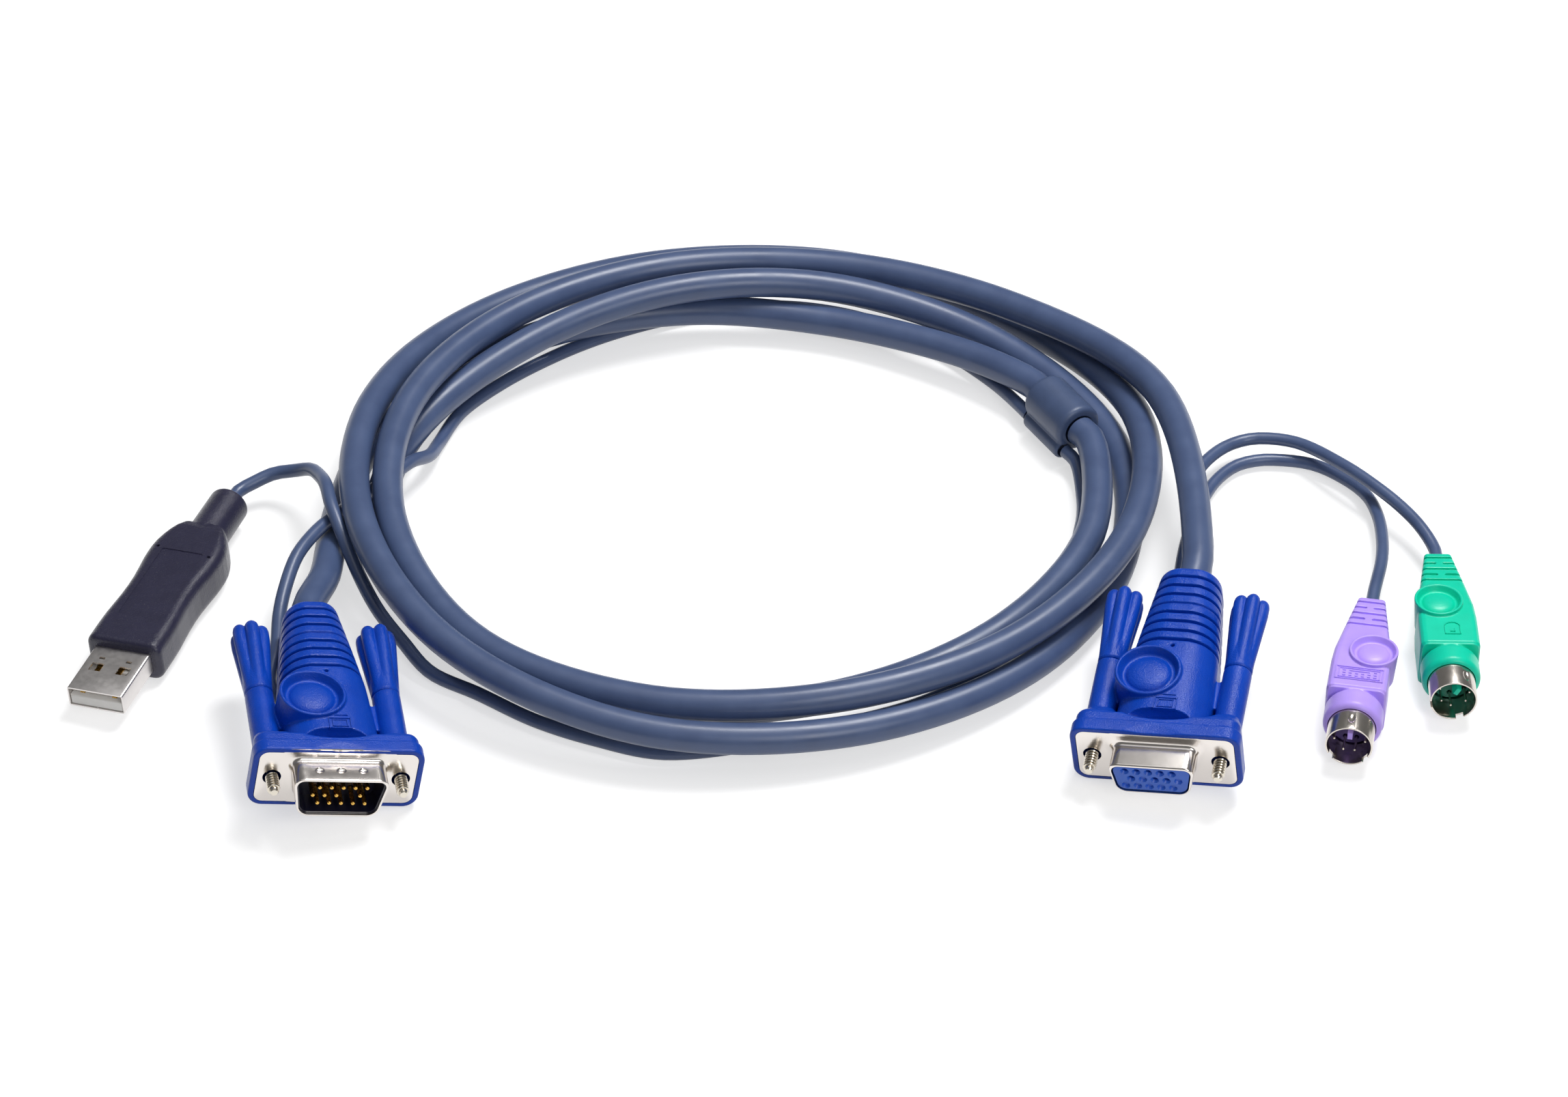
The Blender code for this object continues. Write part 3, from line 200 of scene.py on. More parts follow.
def smooth(points, step):
    """A smooth curve through the route points, read off at an even step."""
    ends = [2 * points[0] - points[1]] + points + [2 * points[-1] - points[-2]]
    fine = []
    for number in range(1, len(points)):
        a, b, c, d = ends[number - 1:number + 3]
        knots = [0.0]
        for first, second in ((a, b), (b, c), (c, d)):
            knots.append(knots[-1] + max(1e-6, (second - first).length) ** 0.5)
        for part in range(24):
            t = knots[1] + (knots[2] - knots[1]) * part / 24
            ab = a.lerp(b, (t - knots[0]) / (knots[1] - knots[0]))
            bc = b.lerp(c, (t - knots[1]) / (knots[2] - knots[1]))
            cd = c.lerp(d, (t - knots[2]) / (knots[3] - knots[2]))
            low = ab.lerp(bc, (t - knots[0]) / (knots[2] - knots[0]))
            high = bc.lerp(cd, (t - knots[1]) / (knots[3] - knots[1]))
            fine.append(low.lerp(high, (t - knots[1]) / (knots[2] - knots[1])))
    fine.append(points[-1])
    run = [0.0]
    for first, second in zip(fine, fine[1:]):
        run.append(run[-1] + (second - first).length)
    count = max(8, round(run[-1] / step))
    even, place = [], 0
    for number in range(count + 1):
        want = run[-1] * number / count
        while place < len(fine) - 2 and run[place + 1] < want:
            place += 1
        even.append(fine[place].lerp(fine[place + 1], (want - run[place]) / max(1e-9, run[place + 1] - run[place])))
    return even, run[-1]


# Extruded PVC: a satin slate jacket, faintly rippled over the wires and a little cloudy in gloss
jacket, tree, shader = surface("extruded PVC jacket", "#495A7D", 0.34, ior=1.53)
place = node(tree, "ShaderNodeTexCoord").outputs["Object"]
cloud = node(tree, "ShaderNodeTexNoise", Vector=place, Scale=160.0, Detail=3.0, Roughness=0.55)
tint = node(tree, "ShaderNodeMix", {"data_type": "RGBA"}, Factor=cloud.outputs["Fac"], i6=linear("#425174"),
            i7=linear("#506288"))
tree.links.new(tint.outputs[2], shader.inputs["Base Color"])
gloss = node(tree, "ShaderNodeMapRange", i0=cloud.outputs["Fac"], i1=0.3, i2=0.7, i3=0.3, i4=0.4)
tree.links.new(gloss.outputs[0], shader.inputs["Roughness"])
ripple = node(tree, "ShaderNodeTexNoise", Vector=place, Scale=420.0, Detail=2.0)
bump = node(tree, "ShaderNodeBump", Strength=0.25, Distance=0.05 * MM, Height=ripple.outputs["Fac"])
tree.links.new(bump.outputs[0], shader.inputs["Normal"])


def lay_cord(name, points, diameter, step):
    """A round cord laid on its route; it stands for the CAD solid of the same name."""
    way, length = smooth(points, step)
    curve = bpy.data.curves.new(name, "CURVE")
    curve.dimensions = "3D"
    curve.bevel_depth = diameter / 2
    curve.bevel_resolution = 8
    curve.use_fill_caps = True
    line = curve.splines.new("POLY")
    line.points.add(len(way) - 1)
    for spot, point in zip(line.points, way):
        spot.co = (*point, 1.0)
    line.use_smooth = True
    curve.materials.append(jacket)
    cord = bpy.data.objects.new(name + "_jacket", curve)
    bpy.context.scene.collection.objects.link(cord)
    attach(cord, "cable")
    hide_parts(name)
    return cord


lay_cord("cable_male_to_collar",
         [along(MALE, 46.0), along(MALE, 49.5)]
         + drawn((-91.9, -20.5, 9.3), (-91.6, -11.3, 7.6), (-91.4, 2.4, 4.8), (-90.4, 11.6, 3.8))
         + coil(0, (80.5, 3.5), (70.5, 5.8), (62.5, 6.6), (60.5, 5.5), (63.5, 7))
         + [along(COLLAR, -HALF_COLLAR - 4.3), along(COLLAR, -HALF_COLLAR - 0.3)],
         CABLE_DIA, 3.5 * MM)
lay_cord("cable_coil",
         [along(COLLAR, HALF_COLLAR + 0.3), along(COLLAR, HALF_COLLAR + 4.3)]
         + coil(6, (71, 8), (69, 8), (68, 6.5), (70, 5), (73.5, 4), (77.5, 3.5), (73, 5.6), (64, 10.8), (61, 13.4),
                (65.5, 10.8), (72.8, 5.5), (77.8, 3.4))
         + coil(18, (78, 3.5), (78.5, 5), (79.5, 7), (82, 9.5), (82.5, 13), (81, 15), (80.5, 13), (81, 8), (82, 5),
                (83, 4), (82.8, 3.8), (83, 8.9))
         + coil(30, (79.5, 11.4), (75.5, 11), (74, 11.5), (74.5, 10.5), (76, 10.5), (74.5, 12.8), (73, 14),
                (71.5, 13), (72, 11.5), (74, 10.5), (78.5, 11.5), (87, 14.9))
         + [along(FEMALE, 54.0), along(FEMALE, 46.0)],
         CABLE_DIA, 3.5 * MM)
LOBE = {"x": 3.4, "z": -4.2}
lay_cord("usb_cord_to_collar",
         [along(MALE, 19.3, -5.06, -4.64), along(MALE, 26.8, -6.6, -5.6), along(MALE, 34.6, -8.2, -6.6)]
         + drawn((-100.2, -40, 7), (-100.3, -30.9, 8), (-99.5, -24, 9.5), (-97.6, -16.1, 11.2), (-94.4, -8.9, 11.4),
                 (-91.6, -4.1, 11.0), (-89.0, 0.5, 10.0), (-84.5, 7, 9.2), (-81, 12, 8.8), (-76.8, 18.5, 8),
                 (-73.5, 25, 4.5), (-72, 32.5, 1.8), (-68, 43, 1.7), (-60, 53, 1.7), (-50, 62, 1.7), (-40, 69, 1.7),
                 (-28, 75, 1.7), (-14, 79.5, 1.7), (0, 80.6, 1.7), (14, 77.5, 1.7), (26, 71, 1.7), (36, 63, 1.7),
                 (44, 54, 1.7))
         + [along(COLLAR, -HALF_COLLAR - 4.3, **LOBE), along(COLLAR, -HALF_COLLAR - 0.3, **LOBE)],
         USB_CORD_DIA, 2.0 * MM)
lay_cord("usb_cord_to_plug",
         [along(COLLAR, HALF_COLLAR + 0.3, **LOBE), along(COLLAR, HALF_COLLAR + 4.3, **LOBE)]
         + drawn((61.5, 15.2, 1.7), (61.3, 8.4, 1.7), (60.2, 1.8, 1.7), (59, -6, 1.7), (56.5, -15, 1.7),
                 (52, -25, 1.7), (45.5, -34.5, 1.7), (37, -43.5, 1.7), (26, -51, 1.7), (13.6, -56.2, 1.7),
                 (4.3, -59.3, 1.7), (-6.4, -62.9, 1.7), (-23.6, -65.4, 1.7), (-37, -61.3, 1.7), (-48.6, -55.8, 1.7),
                 (-60.3, -47.6, 1.7), (-70, -41.4, 2), (-75.8, -33.8, 3.5), (-81.2, -25.6, 5), (-85, -18.9, 8),
                 (-88.6, -11.1, 12), (-91.4, -3.9, 14.6), (-92.8, 2.4, 14.4), (-94.5, 8, 12.5), (-96.9, 12.8, 10.5),
                 (-100.7, 15.5, 8), (-105, 16.4, 6.5), (-109.2, 14.5, 5.5))
         + [along(USB, 56.3), along(USB, 52.3)],
         USB_CORD_DIA, 2.0 * MM)
lay_cord("ps2_keyboard_cord",
         [along(FEMALE, 20.28, -2.39, -4.49), along(FEMALE, 27.0, -2.1, -6.7), along(FEMALE, 34.0, -1.8, -9.0)]
         + drawn((79.0, -20, 1.7), (82.0, 0, 1.7), (86.6, 14.8, 1.7), (90, 21.2, 1.7), (94, 25.3, 1.7),
                 (98, 26.9, 1.7), (101.4, 27.2, 1.7), (109.4, 25.6, 1.8), (115.7, 20.6, 2.0), (119.8, 14.9, 2.2),
                 (121.5, 7.1, 3), (121.6, -2, 4), (120.7, -10.2, 5))
         + [along(KEYBOARD, 40.3), along(KEYBOARD, 35.3)],
         PS2_CORD_DIA, 2.0 * MM)
lay_cord("ps2_mouse_cord",
         [along(FEMALE, 20.28, 2.41, -4.49), along(FEMALE, 27.0, 2.7, -6.7), along(FEMALE, 34.0, 3.0, -9.0)]
         + drawn((84.0, -20, 2.0), (86, -3, 4.2), (85, 8, 4.9), (85.0, 18.2, 4.9), (90.2, 26.4, 4.8),
                 (95.4, 30, 4.6), (99.7, 30.2, 5), (106.5, 28, 5.5), (115.3, 18.5, 7), (120.7, 12.2, 7),
                 (125.6, 6, 6.5), (129.4, -0.5, 6))
         + [along(MOUSE, 39.3), along(MOUSE, 35.3)],
         PS2_CORD_DIA, 2.0 * MM)

# ---------------------------------------------------------------- collar
# A soft PVC sleeve is moulded over the thick cable where the USB cord leaves it, with a slanting lobe for that cord.
# It has rounded ends, a flash line across its top and a tight ring of shadow where the cable comes out.


def leave_edit():
    """Back to object mode with nothing selected."""
    if bpy.context.mode != "OBJECT":
        bpy.ops.object.mode_set(mode="OBJECT")
    bpy.ops.object.select_all(action="DESELECT")


def start(name):
    """Take the primitive just added into edit mode, with its size in its mesh and nothing selected."""
    thing = bpy.context.object
    thing.name = name
    bpy.ops.object.transform_apply(location=True, rotation=True, scale=True)
    bpy.ops.object.mode_set(mode="EDIT")
    bpy.ops.mesh.select_all(action="DESELECT")
    return thing


def block(name, low, high):
    """A box between two corners given in millimetres."""
    leave_edit()
    bpy.ops.mesh.primitive_cube_add(size=1, location=[(a + b) / 2 * MM for a, b in zip(low, high)],
                                    scale=[(b - a) * MM for a, b in zip(low, high)])
    return start(name)


def bar(name, middle, radius, first, last, sides=48, far_radius=None, upright=False):
    """A round bar or cone along Y about a middle in X and Z, or upright along Z about one in X and Y."""
    leave_edit()
    centre, half = (first + last) / 2, (last - first) / 2
    place = (middle[0], middle[1], centre) if upright else (middle[0], centre, middle[1])
    bpy.ops.mesh.primitive_cone_add(vertices=sides, radius1=radius * MM,
                                    radius2=(radius if far_radius is None else far_radius) * MM, depth=2 * half * MM,
                                    location=[c * MM for c in place], rotation=(0 if upright else radians(-90), 0, 0))
    return start(name)


def pick(kind, test):
    """Select the parts of the mesh whose middle in millimetres, and normal or direction, pass a test."""
    bpy.ops.mesh.select_all(action="DESELECT")
    bpy.ops.mesh.select_mode(type=kind)
    mesh = bmesh.from_edit_mesh(bpy.context.edit_object.data)
    if kind == "FACE":
        mesh.normal_update()
        chosen = [f for f in mesh.faces if test(f.calc_center_median() / MM, f.normal)]
    elif kind == "EDGE":
        chosen = [e for e in mesh.edges if test((e.verts[0].co + e.verts[1].co) / 2 / MM,
                                                (e.verts[1].co - e.verts[0].co).normalized())]
    else:
        chosen = [v for v in mesh.verts if test(v.co / MM, v.normal)]
    for part in chosen:
        part.select_set(True)
    mesh.select_flush_mode()
    bmesh.update_edit_mesh(bpy.context.edit_object.data)


def round_off(radius, segments=3):
    """Bevel the selected edges."""
    bpy.ops.mesh.bevel(offset=radius * MM, segments=segments, affect="EDGES", clamp_overlap=True)


def round_long_edges(radius, segments):
    """Bevel the edges that run along Y."""
    pick("EDGE", lambda m, d: abs(d.y) > 0.9)
    round_off(radius, segments)


def draw_out(step, size_x=1.0, size_z=1.0, about=(0, 0, 0), way=(0, 1, 0)):
    """Extrude the selected face by a step in millimetres, then scale it about a point."""
    bpy.ops.mesh.extrude_region_move(TRANSFORM_OT_translate={"value": [step * MM * w for w in way]})
    sizes = (size_x, 1, size_z) if way[1] else (size_x, size_z, 1)
    bpy.ops.transform.resize(value=sizes, center_override=[c * MM for c in about])


def apply_modifier(thing, kind, **settings):
    """Put a modifier on a piece and apply it."""
    leave_edit()
    bpy.context.view_layer.objects.active = thing
    thing.select_set(True)
    modifier = thing.modifiers.new(kind.lower(), kind)
    for key, value in settings.items():
        setattr(modifier, key, value)
    bpy.ops.object.modifier_apply(modifier=modifier.name)


def cut_away(thing, *tools, how="DIFFERENCE"):
    """Cut tools out of a piece, or add them to it."""
    leave_edit()
    for tool in tools:
        apply_modifier(thing, "BOOLEAN", operation=how, object=tool, solver="EXACT")
        bpy.data.objects.remove(tool)


def mould(thing, grain, passes, kept=1.0):
    """Turn the piece into one even skin, with the soft edges of a moulding, and keep a share of its faces."""
    apply_modifier(thing, "REMESH", mode="VOXEL", voxel_size=grain * MM, use_smooth_shade=True)
    apply_modifier(thing, "SMOOTH", factor=0.5, iterations=passes)
    if kept < 1:
        apply_modifier(thing, "DECIMATE", ratio=kept)


def finish(thing, place, material, stands_for, body="cable", angle=None):
    """Lay a finished piece in its place, and give it its material, body and CAD solid."""
    leave_edit()
    thing.data.transform(place)
    bpy.context.view_layer.objects.active = thing
    thing.select_set(True)
    if angle is None:
        bpy.ops.object.shade_smooth()
    else:
        bpy.ops.object.shade_smooth_by_angle(angle=radians(angle))
    thing.data.materials.clear()
    thing.data.materials.append(material)
    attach(thing, body)
    if stands_for:
        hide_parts(*([stands_for] if isinstance(stands_for, str) else stands_for))
    return thing


def twin(thing, name):
    """A copy of a modelled piece with a mesh of its own."""
    leave_edit()
    copy = thing.copy()
    copy.data = thing.data.copy()
    copy.name = name
    bpy.context.scene.collection.objects.link(copy)
    return copy


sleeve = bar("collar_moulding", (0, 0), 5.2, -6.85, 6.85, 64)
pick("EDGE", lambda m, d: abs(d.y) < 0.1 and m.xz.length > 5.0)
round_off(1.1, 4)
leave_edit()
lobe = bar("collar_lobe", (3.4, -4.2), 2.2, -6.4, 6.6, 32)
pick("EDGE", lambda m, d: abs(d.y) < 0.1)
round_off(0.7, 3)
leave_edit()
web = block("collar_web", (0.2, -5.9, -4.6), (4.4, 5.9, 0.0))
cut_away(sleeve, lobe, web, how="UNION")
mould(sleeve, 0.2, 5)
cut_away(sleeve, bar("cable_bore", (0, 0), 3.35, -8, 8, 48), bar("cord_bore", (3.4, -4.2), 1.6, -8, 8, 32))
# Moulded PVC of the same slate colour as the jacket, a little duller and cloudier, with the mould's flow in it
collar_pvc, tree, shader = surface("moulded slate PVC", "#435374", 0.42, ior=1.53)
place = node(tree, "ShaderNodeTexCoord").outputs["Object"]
cloud = node(tree, "ShaderNodeTexNoise", Vector=place, Scale=260.0, Detail=4.0)
tint = node(tree, "ShaderNodeMix", {"data_type": "RGBA"}, Factor=cloud.outputs["Fac"], i6=linear("#3B4A69"),
            i7=linear("#4B5C80"))
tree.links.new(tint.outputs[2], shader.inputs["Base Color"])
grain = node(tree, "ShaderNodeTexNoise", Vector=place, Scale=1800.0, Detail=3.0)
bump = node(tree, "ShaderNodeBump", Strength=0.3, Distance=0.03 * MM, Height=grain.outputs["Fac"])
tree.links.new(bump.outputs[0], shader.inputs["Normal"])
finish(sleeve, COLLAR, collar_pvc, "collar_sleeve")

# ---------------------------------------------------------------- VGA hoods
# Each VGA plug is overmoulded in royal blue soft PVC in one shot: front flange, arched body, grooved strain relief,
# two screw sleeves on webs and a dished thumb button. The tool is spark-eroded, so the skin sparkles where it shines.
BUTTON = (-3.6, 16.6)
SCREW_X = 12.5
HOOD_LENGTH = 45.7
GROOVES = 8
GROOVE_PITCH = 2.5
SHALLOW_GROOVE = 4


def hood_outline(y, boot_width):
    """Width and height of the body at a distance from the front, in millimetres."""
    early = min(1.0, max(0.0, (y - 5.5) / 17.5))
    share = max(0.0, (y - 23.0) / 22.7)
    width = 19.0 - 1.6 * early
    width += (boot_width - width) * share ** 1.1
    return width, 12.6 - 1.6 * share ** 1.5


def vga_hood(name, boot_width):
    """The hood on the connector's own axes, before it is laid in place."""
    # The crown is arched: its corners are rounded almost to the middle, and then it is widened
    body = block(name, (-8, 4.0, -6.3), (8, 5.5, 6.3))
    pick("EDGE", lambda m, d: abs(d.y) > 0.9 and m.z > 0)
    round_off(6.2, 14)
    pick("EDGE", lambda m, d: abs(d.y) > 0.9 and m.z < -6)
    round_off(2.6, 6)
    bpy.ops.mesh.select_all(action="SELECT")
    bpy.ops.transform.resize(value=(19 / 16, 1, 1), center_override=(0, 0, 0))
    pick("FACE", lambda m, n: n.y > 0.9)
    stations = [(y, 0.0) for y in (9, 13, 17, 21, 24)]
    for number in range(GROOVES):
        middle = HOOD_LENGTH - GROOVE_PITCH * (GROOVES - number)
        wide, deep = (0.24, 0.5) if number == SHALLOW_GROOVE else (0.36, 1.15)
        stations += [(middle - wide, 0.0), (middle - wide + 0.06, deep), (middle + wide - 0.06, deep),
                     (middle + wide, 0.0)]
    stations += [(HOOD_LENGTH - 0.6, 0.0), (HOOD_LENGTH - 0.2, 0.15), (HOOD_LENGTH, 0.5)]
    at, width, height = 5.5, *hood_outline(5.5, boot_width)
    for y, sunk in stations:
        new_width, new_height = (size - 2 * sunk for size in hood_outline(y, boot_width))
        draw_out(y - at, new_width / width, new_height / height)
        at, width, height = y, new_width, new_height
    leave_edit()

    flange = block(name + "_flange", (-16.6, 0, -7.3), (16.6, 3.0, 7.3))
    round_long_edges(3.0, 8)
    pick("FACE", lambda m, n: n.y > 0.9)
    bpy.ops.mesh.inset(thickness=0.55 * MM)
    draw_out(2.6)
    pick("EDGE", lambda m, d: m.y < 0.01)
    round_off(0.25, 2)
    pick("EDGE", lambda m, d: m.y > 5.59)
    round_off(0.5, 3)
    leave_edit()
    extras = [flange]
    for side in (-1, 1):
        shoulder = block(name + "_shoulder", (min(side * 7.8, side * 15.9), 5.0, -6.6),
                         (max(side * 7.8, side * 15.9), 5.7, 6.6))
        round_long_edges(2.4, 5)
        pick("FACE", lambda m, n: n.y > 0.9)
        draw_out(1.0, 0.96, 0.86, (side * SCREW_X, 0, 0))
        draw_out(1.2, 0.8, 0.72, (side * SCREW_X, 0, 0))
        draw_out(1.8, 0.88, 0.72, (side * SCREW_X, 0, 0))
        leave_edit()
        # The web to the sleeve is deep between them and rises toward its end
        near, far = sorted((side * 6.6, side * SCREW_X))
        web = block(name + "_web", (near, 3.0, -5.2), (far, 13.5, -2.8))
        leave_edit()
        rise = block(name + "_web_end", (near, 13.0, -4.2), (far, 20.0, 0.8))
        leave_edit()
        tube = bar(name + "_tube", (side * SCREW_X, 0), 2.8, 3.0, 23.0, 48)
        leave_edit()
        extras += [shoulder, web, rise, tube]
    boss = bar(name + "_boss", BUTTON, 6.8, -1.0, 7.15, 64, 6.5, upright=True)
    pick("EDGE", lambda m, d: m.z > 7.1)
    round_off(0.2, 2)
    leave_edit()
    cut_away(body, *extras, boss, how="UNION")

    # The dish round the dome, and the two scoops in the flange's top edge
    dish = bar(name + "_dish", BUTTON, 5.15, 5.45, 8.0, 64, 6.35, upright=True)
    pick("FACE", lambda m, n: n.z < -0.9)
    bpy.ops.mesh.inset(thickness=0.7 * MM)
    for step, size in ((0.34, 0.95), (0.32, 0.89), (0.28, 0.8), (0.18, 0.66), (0.08, 0.4)):
        draw_out(step, size, size, (*BUTTON, 0), (0, 0, 1))
    leave_edit()
    cuts = [dish]
    for label, middle, sizes in (("front", (0, -6.47, 54.1), (47.6, 47.6, 47.6)),
                                 ("rear", (0, 5.85, 7.6), (7.2, 1.7, 4.4))):
        leave_edit()
        bpy.ops.mesh.primitive_uv_sphere_add(segments=128, ring_count=96, radius=MM,
                                             location=[c * MM for c in middle], scale=sizes)
        cuts.append(start(name + "_" + label + "_scoop"))
        leave_edit()
    cuts.append(bar(name + "_pin_mark", (0.0, 24.0), 0.4, 5.2, 8.0, 24, upright=True))
    cut_away(body, *cuts)
    mould(body, 0.17, 2, 0.5)
    return body


def hood_bores(hood, rim_width, rim_height, outlets):
    """Open the plate's and the insulator's pockets, the screw bores and the cord outlets."""
    pocket = block("plate_pocket", (-15.5, -1, -6.375), (15.5, 1.1, 6.375))
    round_long_edges(2.0, 5)
    leave_edit()
    behind = block("insulator_pocket", (-rim_width / 2, 0, -rim_height / 2), (rim_width / 2, 4.3, rim_height / 2))
    leave_edit()
    tools = [pocket, behind] + [bar("screw_bore", (x, 0), radius, 0.5, deep, 32) for x in (-SCREW_X, SCREW_X)
                                for radius, deep in ((1.75, 24), (2.3, 7))]
    for begin, toward, radius in outlets:
        way = Vector(toward) - Vector(begin)
        tool = bar("cord_outlet", (0, 0), radius, 0, way.length, 24)
        leave_edit()
        tool.data.transform(Matrix.Translation(Vector(begin) * MM) @ way.to_track_quat("Y", "Z").to_matrix().to_4x4())
        tools.append(tool)
    cut_away(hood, *tools)


def strokes(name, lines, top, width, height):
    """A pictogram drawn as raised lines on the hood: each line is a closed or open run of points in millimetres."""
    pieces = []
    for run in lines:
        for (ax, ay), (bx, by) in zip(run, run[1:]):
            length = ((bx - ax) ** 2 + (by - ay) ** 2) ** 0.5
            stroke = block(name, (-width / 2, -width / 2, top - 0.4), (length + width / 2, width / 2, top + height))
            pick("FACE", lambda m, n: n.z > 0.9)
            bpy.ops.transform.resize(value=(1 - 0.1 / length, 0.5, 1), center_override=(length / 2 * MM, 0, 0))
            leave_edit()
            turn = Matrix.Rotation(atan2(by - ay, bx - ax), 4, "Z")
            stroke.data.transform(Matrix.Translation((ax * MM, ay * MM, 0)) @ turn)
            pieces.append(stroke)
    for piece in pieces:
        piece.select_set(True)
    bpy.context.view_layer.objects.active = pieces[0]
    bpy.ops.object.join()
    return pieces[0]


# Moulded PVC: deep royal blue, satin, with an eroded grain that breaks the highlight into fine sparkles
blue_pvc, tree, shader = surface("moulded royal blue PVC", "#0641B2", 0.28, ior=1.5)
shader.inputs["Specular IOR Level"].default_value = 0.3
place = node(tree, "ShaderNodeTexCoord").outputs["Object"]
cloud = node(tree, "ShaderNodeTexNoise", Vector=place, Scale=220.0, Detail=3.0)
tint = node(tree, "ShaderNodeMix", {"data_type": "RGBA"}, Factor=cloud.outputs["Fac"], i6=linear("#043AA6"),
            i7=linear("#0848BE"))
tree.links.new(tint.outputs[2], shader.inputs["Base Color"])
# The true grain is about 0.1 mm; it is drawn at 0.26 mm, so that it shows
grain = node(tree, "ShaderNodeTexNoise", Vector=place, Scale=3800.0, Detail=2.0, Roughness=0.65)
bump = node(tree, "ShaderNodeBump", Strength=1.0, Distance=0.09 * MM, Height=grain.outputs["Fac"])
tree.links.new(bump.outputs[0], shader.inputs["Normal"])

for name, place, boot_width, rim, outlets in (
        ("vga_male_hood", MALE, 11.1, (17.6, 9.1), [((-5.0, 19.0, -4.6), (-8.2, 34.6, -6.6), 1.7)]),
        ("vga_female_hood", FEMALE, 12.4, (16.0, 7.5), [((-2.4, 20.0, -4.4), (-1.8, 34.0, -9.0), 1.6),
                                                        ((2.4, 20.0, -4.4), (3.0, 34.0, -9.0), 1.6)])):
    hood = vga_hood(name + "_moulding", boot_width)
    hood_bores(hood, *rim, outlets)
    # A monitor pictogram stands in thin raised lines in front of the button
    x, y = 0.9, 8.8
    screen = [[(x - 2.1, y - 1.5), (x + 2.1, y - 1.5), (x + 2.1, y + 1.3), (x - 2.1, y + 1.3), (x - 2.1, y - 1.5)],
              [(x - 1.4, y - 1.0), (x + 1.4, y - 1.0), (x + 1.4, y + 0.8), (x - 1.4, y + 0.8), (x - 1.4, y - 1.0)],
              [(x - 1.6, y + 2.2), (x + 1.6, y + 2.2)]]
    mark = strokes(name + "_pictogram", screen, 6.28, 0.34, 0.22)
    leave_edit()
    mark.select_set(True)
    hood.select_set(True)
    bpy.context.view_layer.objects.active = hood
    bpy.ops.object.join()
    finish(hood, place, blue_pvc, name, angle=40)

# ---------------------------------------------------------------- VGA front plates
# A nickel-plated steel pressing closes the front of each hood. Its D rim is drawn from the sheet, so it flares where it
# leaves the plate and has a turned lip. The male rim has three grounding dimples along its top.


def d_block(name, width, height, radius, first, last):
    """A bar with the D outline of a VGA rim, its wide side up."""
    narrowing = height * sin(radians(10)) / cos(radians(10))
    top, bottom = width + narrowing / 2, width - 1.5 * narrowing
    thing = block(name, (-top / 2, first, -height / 2), (top / 2, last, height / 2))
    pick("VERT", lambda m, n: m.z < 0)
    bpy.ops.transform.resize(value=(bottom / top, 1, 1), center_override=(0, 0, 0))
    round_long_edges(radius, 10)
    return thing


def front_plate(name, width, height, lip):
    plate = block(name, (-15.4, 0, -6.275), (15.4, 0.8, 6.275))
    round_long_edges(1.8, 8)
    pick("EDGE", lambda m, d: m.y < 0.01)
    round_off(0.12, 2)
    rim = d_block(name + "_rim", width, height, 2.3, -5.8, -1.0)
    pick("FACE", lambda m, n: n.y > 0.9)
    for step, grow in ((0.35, 0.05), (0.25, 0.13), (0.2, 0.25), (0.12, 0.42), (0.07, 0.66), (0.05, 0.9)):
        draw_out(step, 1 + 2 * grow / width, 1 + 2 * grow / height)
        width, height = width + 2 * grow, height + 2 * grow
    draw_out(0.3)
    pick("EDGE", lambda m, d: m.y < -5.79)
    round_off(lip, 5)
    return plate, rim


def nickel(name, colour, roughness):
    """Nickel plate: warm white metal, with faint rolling marks and a slightly clouded gloss."""
    metal, tree, shader = surface(name, colour, roughness, metallic=1.0)
    place = node(tree, "ShaderNodeTexCoord").outputs["Object"]
    cloud = node(tree, "ShaderNodeTexNoise", Vector=place, Scale=900.0, Detail=3.0, Roughness=0.6)
    gloss = node(tree, "ShaderNodeMapRange", i0=cloud.outputs["Fac"], i1=0.3, i2=0.7, i3=roughness * 0.92,
                 i4=roughness * 1.12)
    tree.links.new(gloss.outputs[0], shader.inputs["Roughness"])
    grain = node(tree, "ShaderNodeTexNoise", Vector=place, Scale=3200.0, Detail=2.0)
    bump = node(tree, "ShaderNodeBump", Strength=0.05, Distance=0.02 * MM, Height=grain.outputs["Fac"])
    tree.links.new(bump.outputs[0], shader.inputs["Normal"])
    return metal


plate_nickel = nickel("nickel-plated steel sheet", "#E0DAD5", 0.2)

for name, place, width, height, lip in (("vga_male_plate", MALE, 18.0, 9.5, 0.22),
                                        ("vga_female_plate", FEMALE, 16.4, 7.9, 0.42)):
    plate, rim = front_plate(name + "_pressing", width, height, lip)
    cut_away(plate, rim, how="UNION")
    inside = d_block(name + "_inside", width - 1.0, height - 1.0, 1.8, -7, 2)
    holes = [bar(name + "_hole", (x, 0), 1.8, -1, 2, 40) for x in (-SCREW_X, SCREW_X)]
    cut_away(plate, inside, *holes)
    if name == "vga_male_plate":
        for x in (-4.2, 0, 4.2):
            leave_edit()
            bpy.ops.mesh.primitive_uv_sphere_add(segments=24, ring_count=12, radius=MM,
                                                 location=(x * MM, -3.1 * MM, 4.85 * MM), scale=(1.0, 0.85, 0.4))
            dimple = start(name + "_dimple")
            cut_away(plate, dimple)
    finish(plate, place, plate_nickel, name, angle=32)

# ---------------------------------------------------------------- VGA contacts
# The male insert is black glass-filled plastic with fourteen gold-plated pins round a gap; it is drawn as a cup whose
# thin walls line the metal rim, a dark sheet as painted shade for the shade inside the rim.
# The female insert is bright blue, nearly flush with its rim, with fifteen countersunk sockets.
PIN_PITCH = 2.29
ROW_PITCH = 1.98


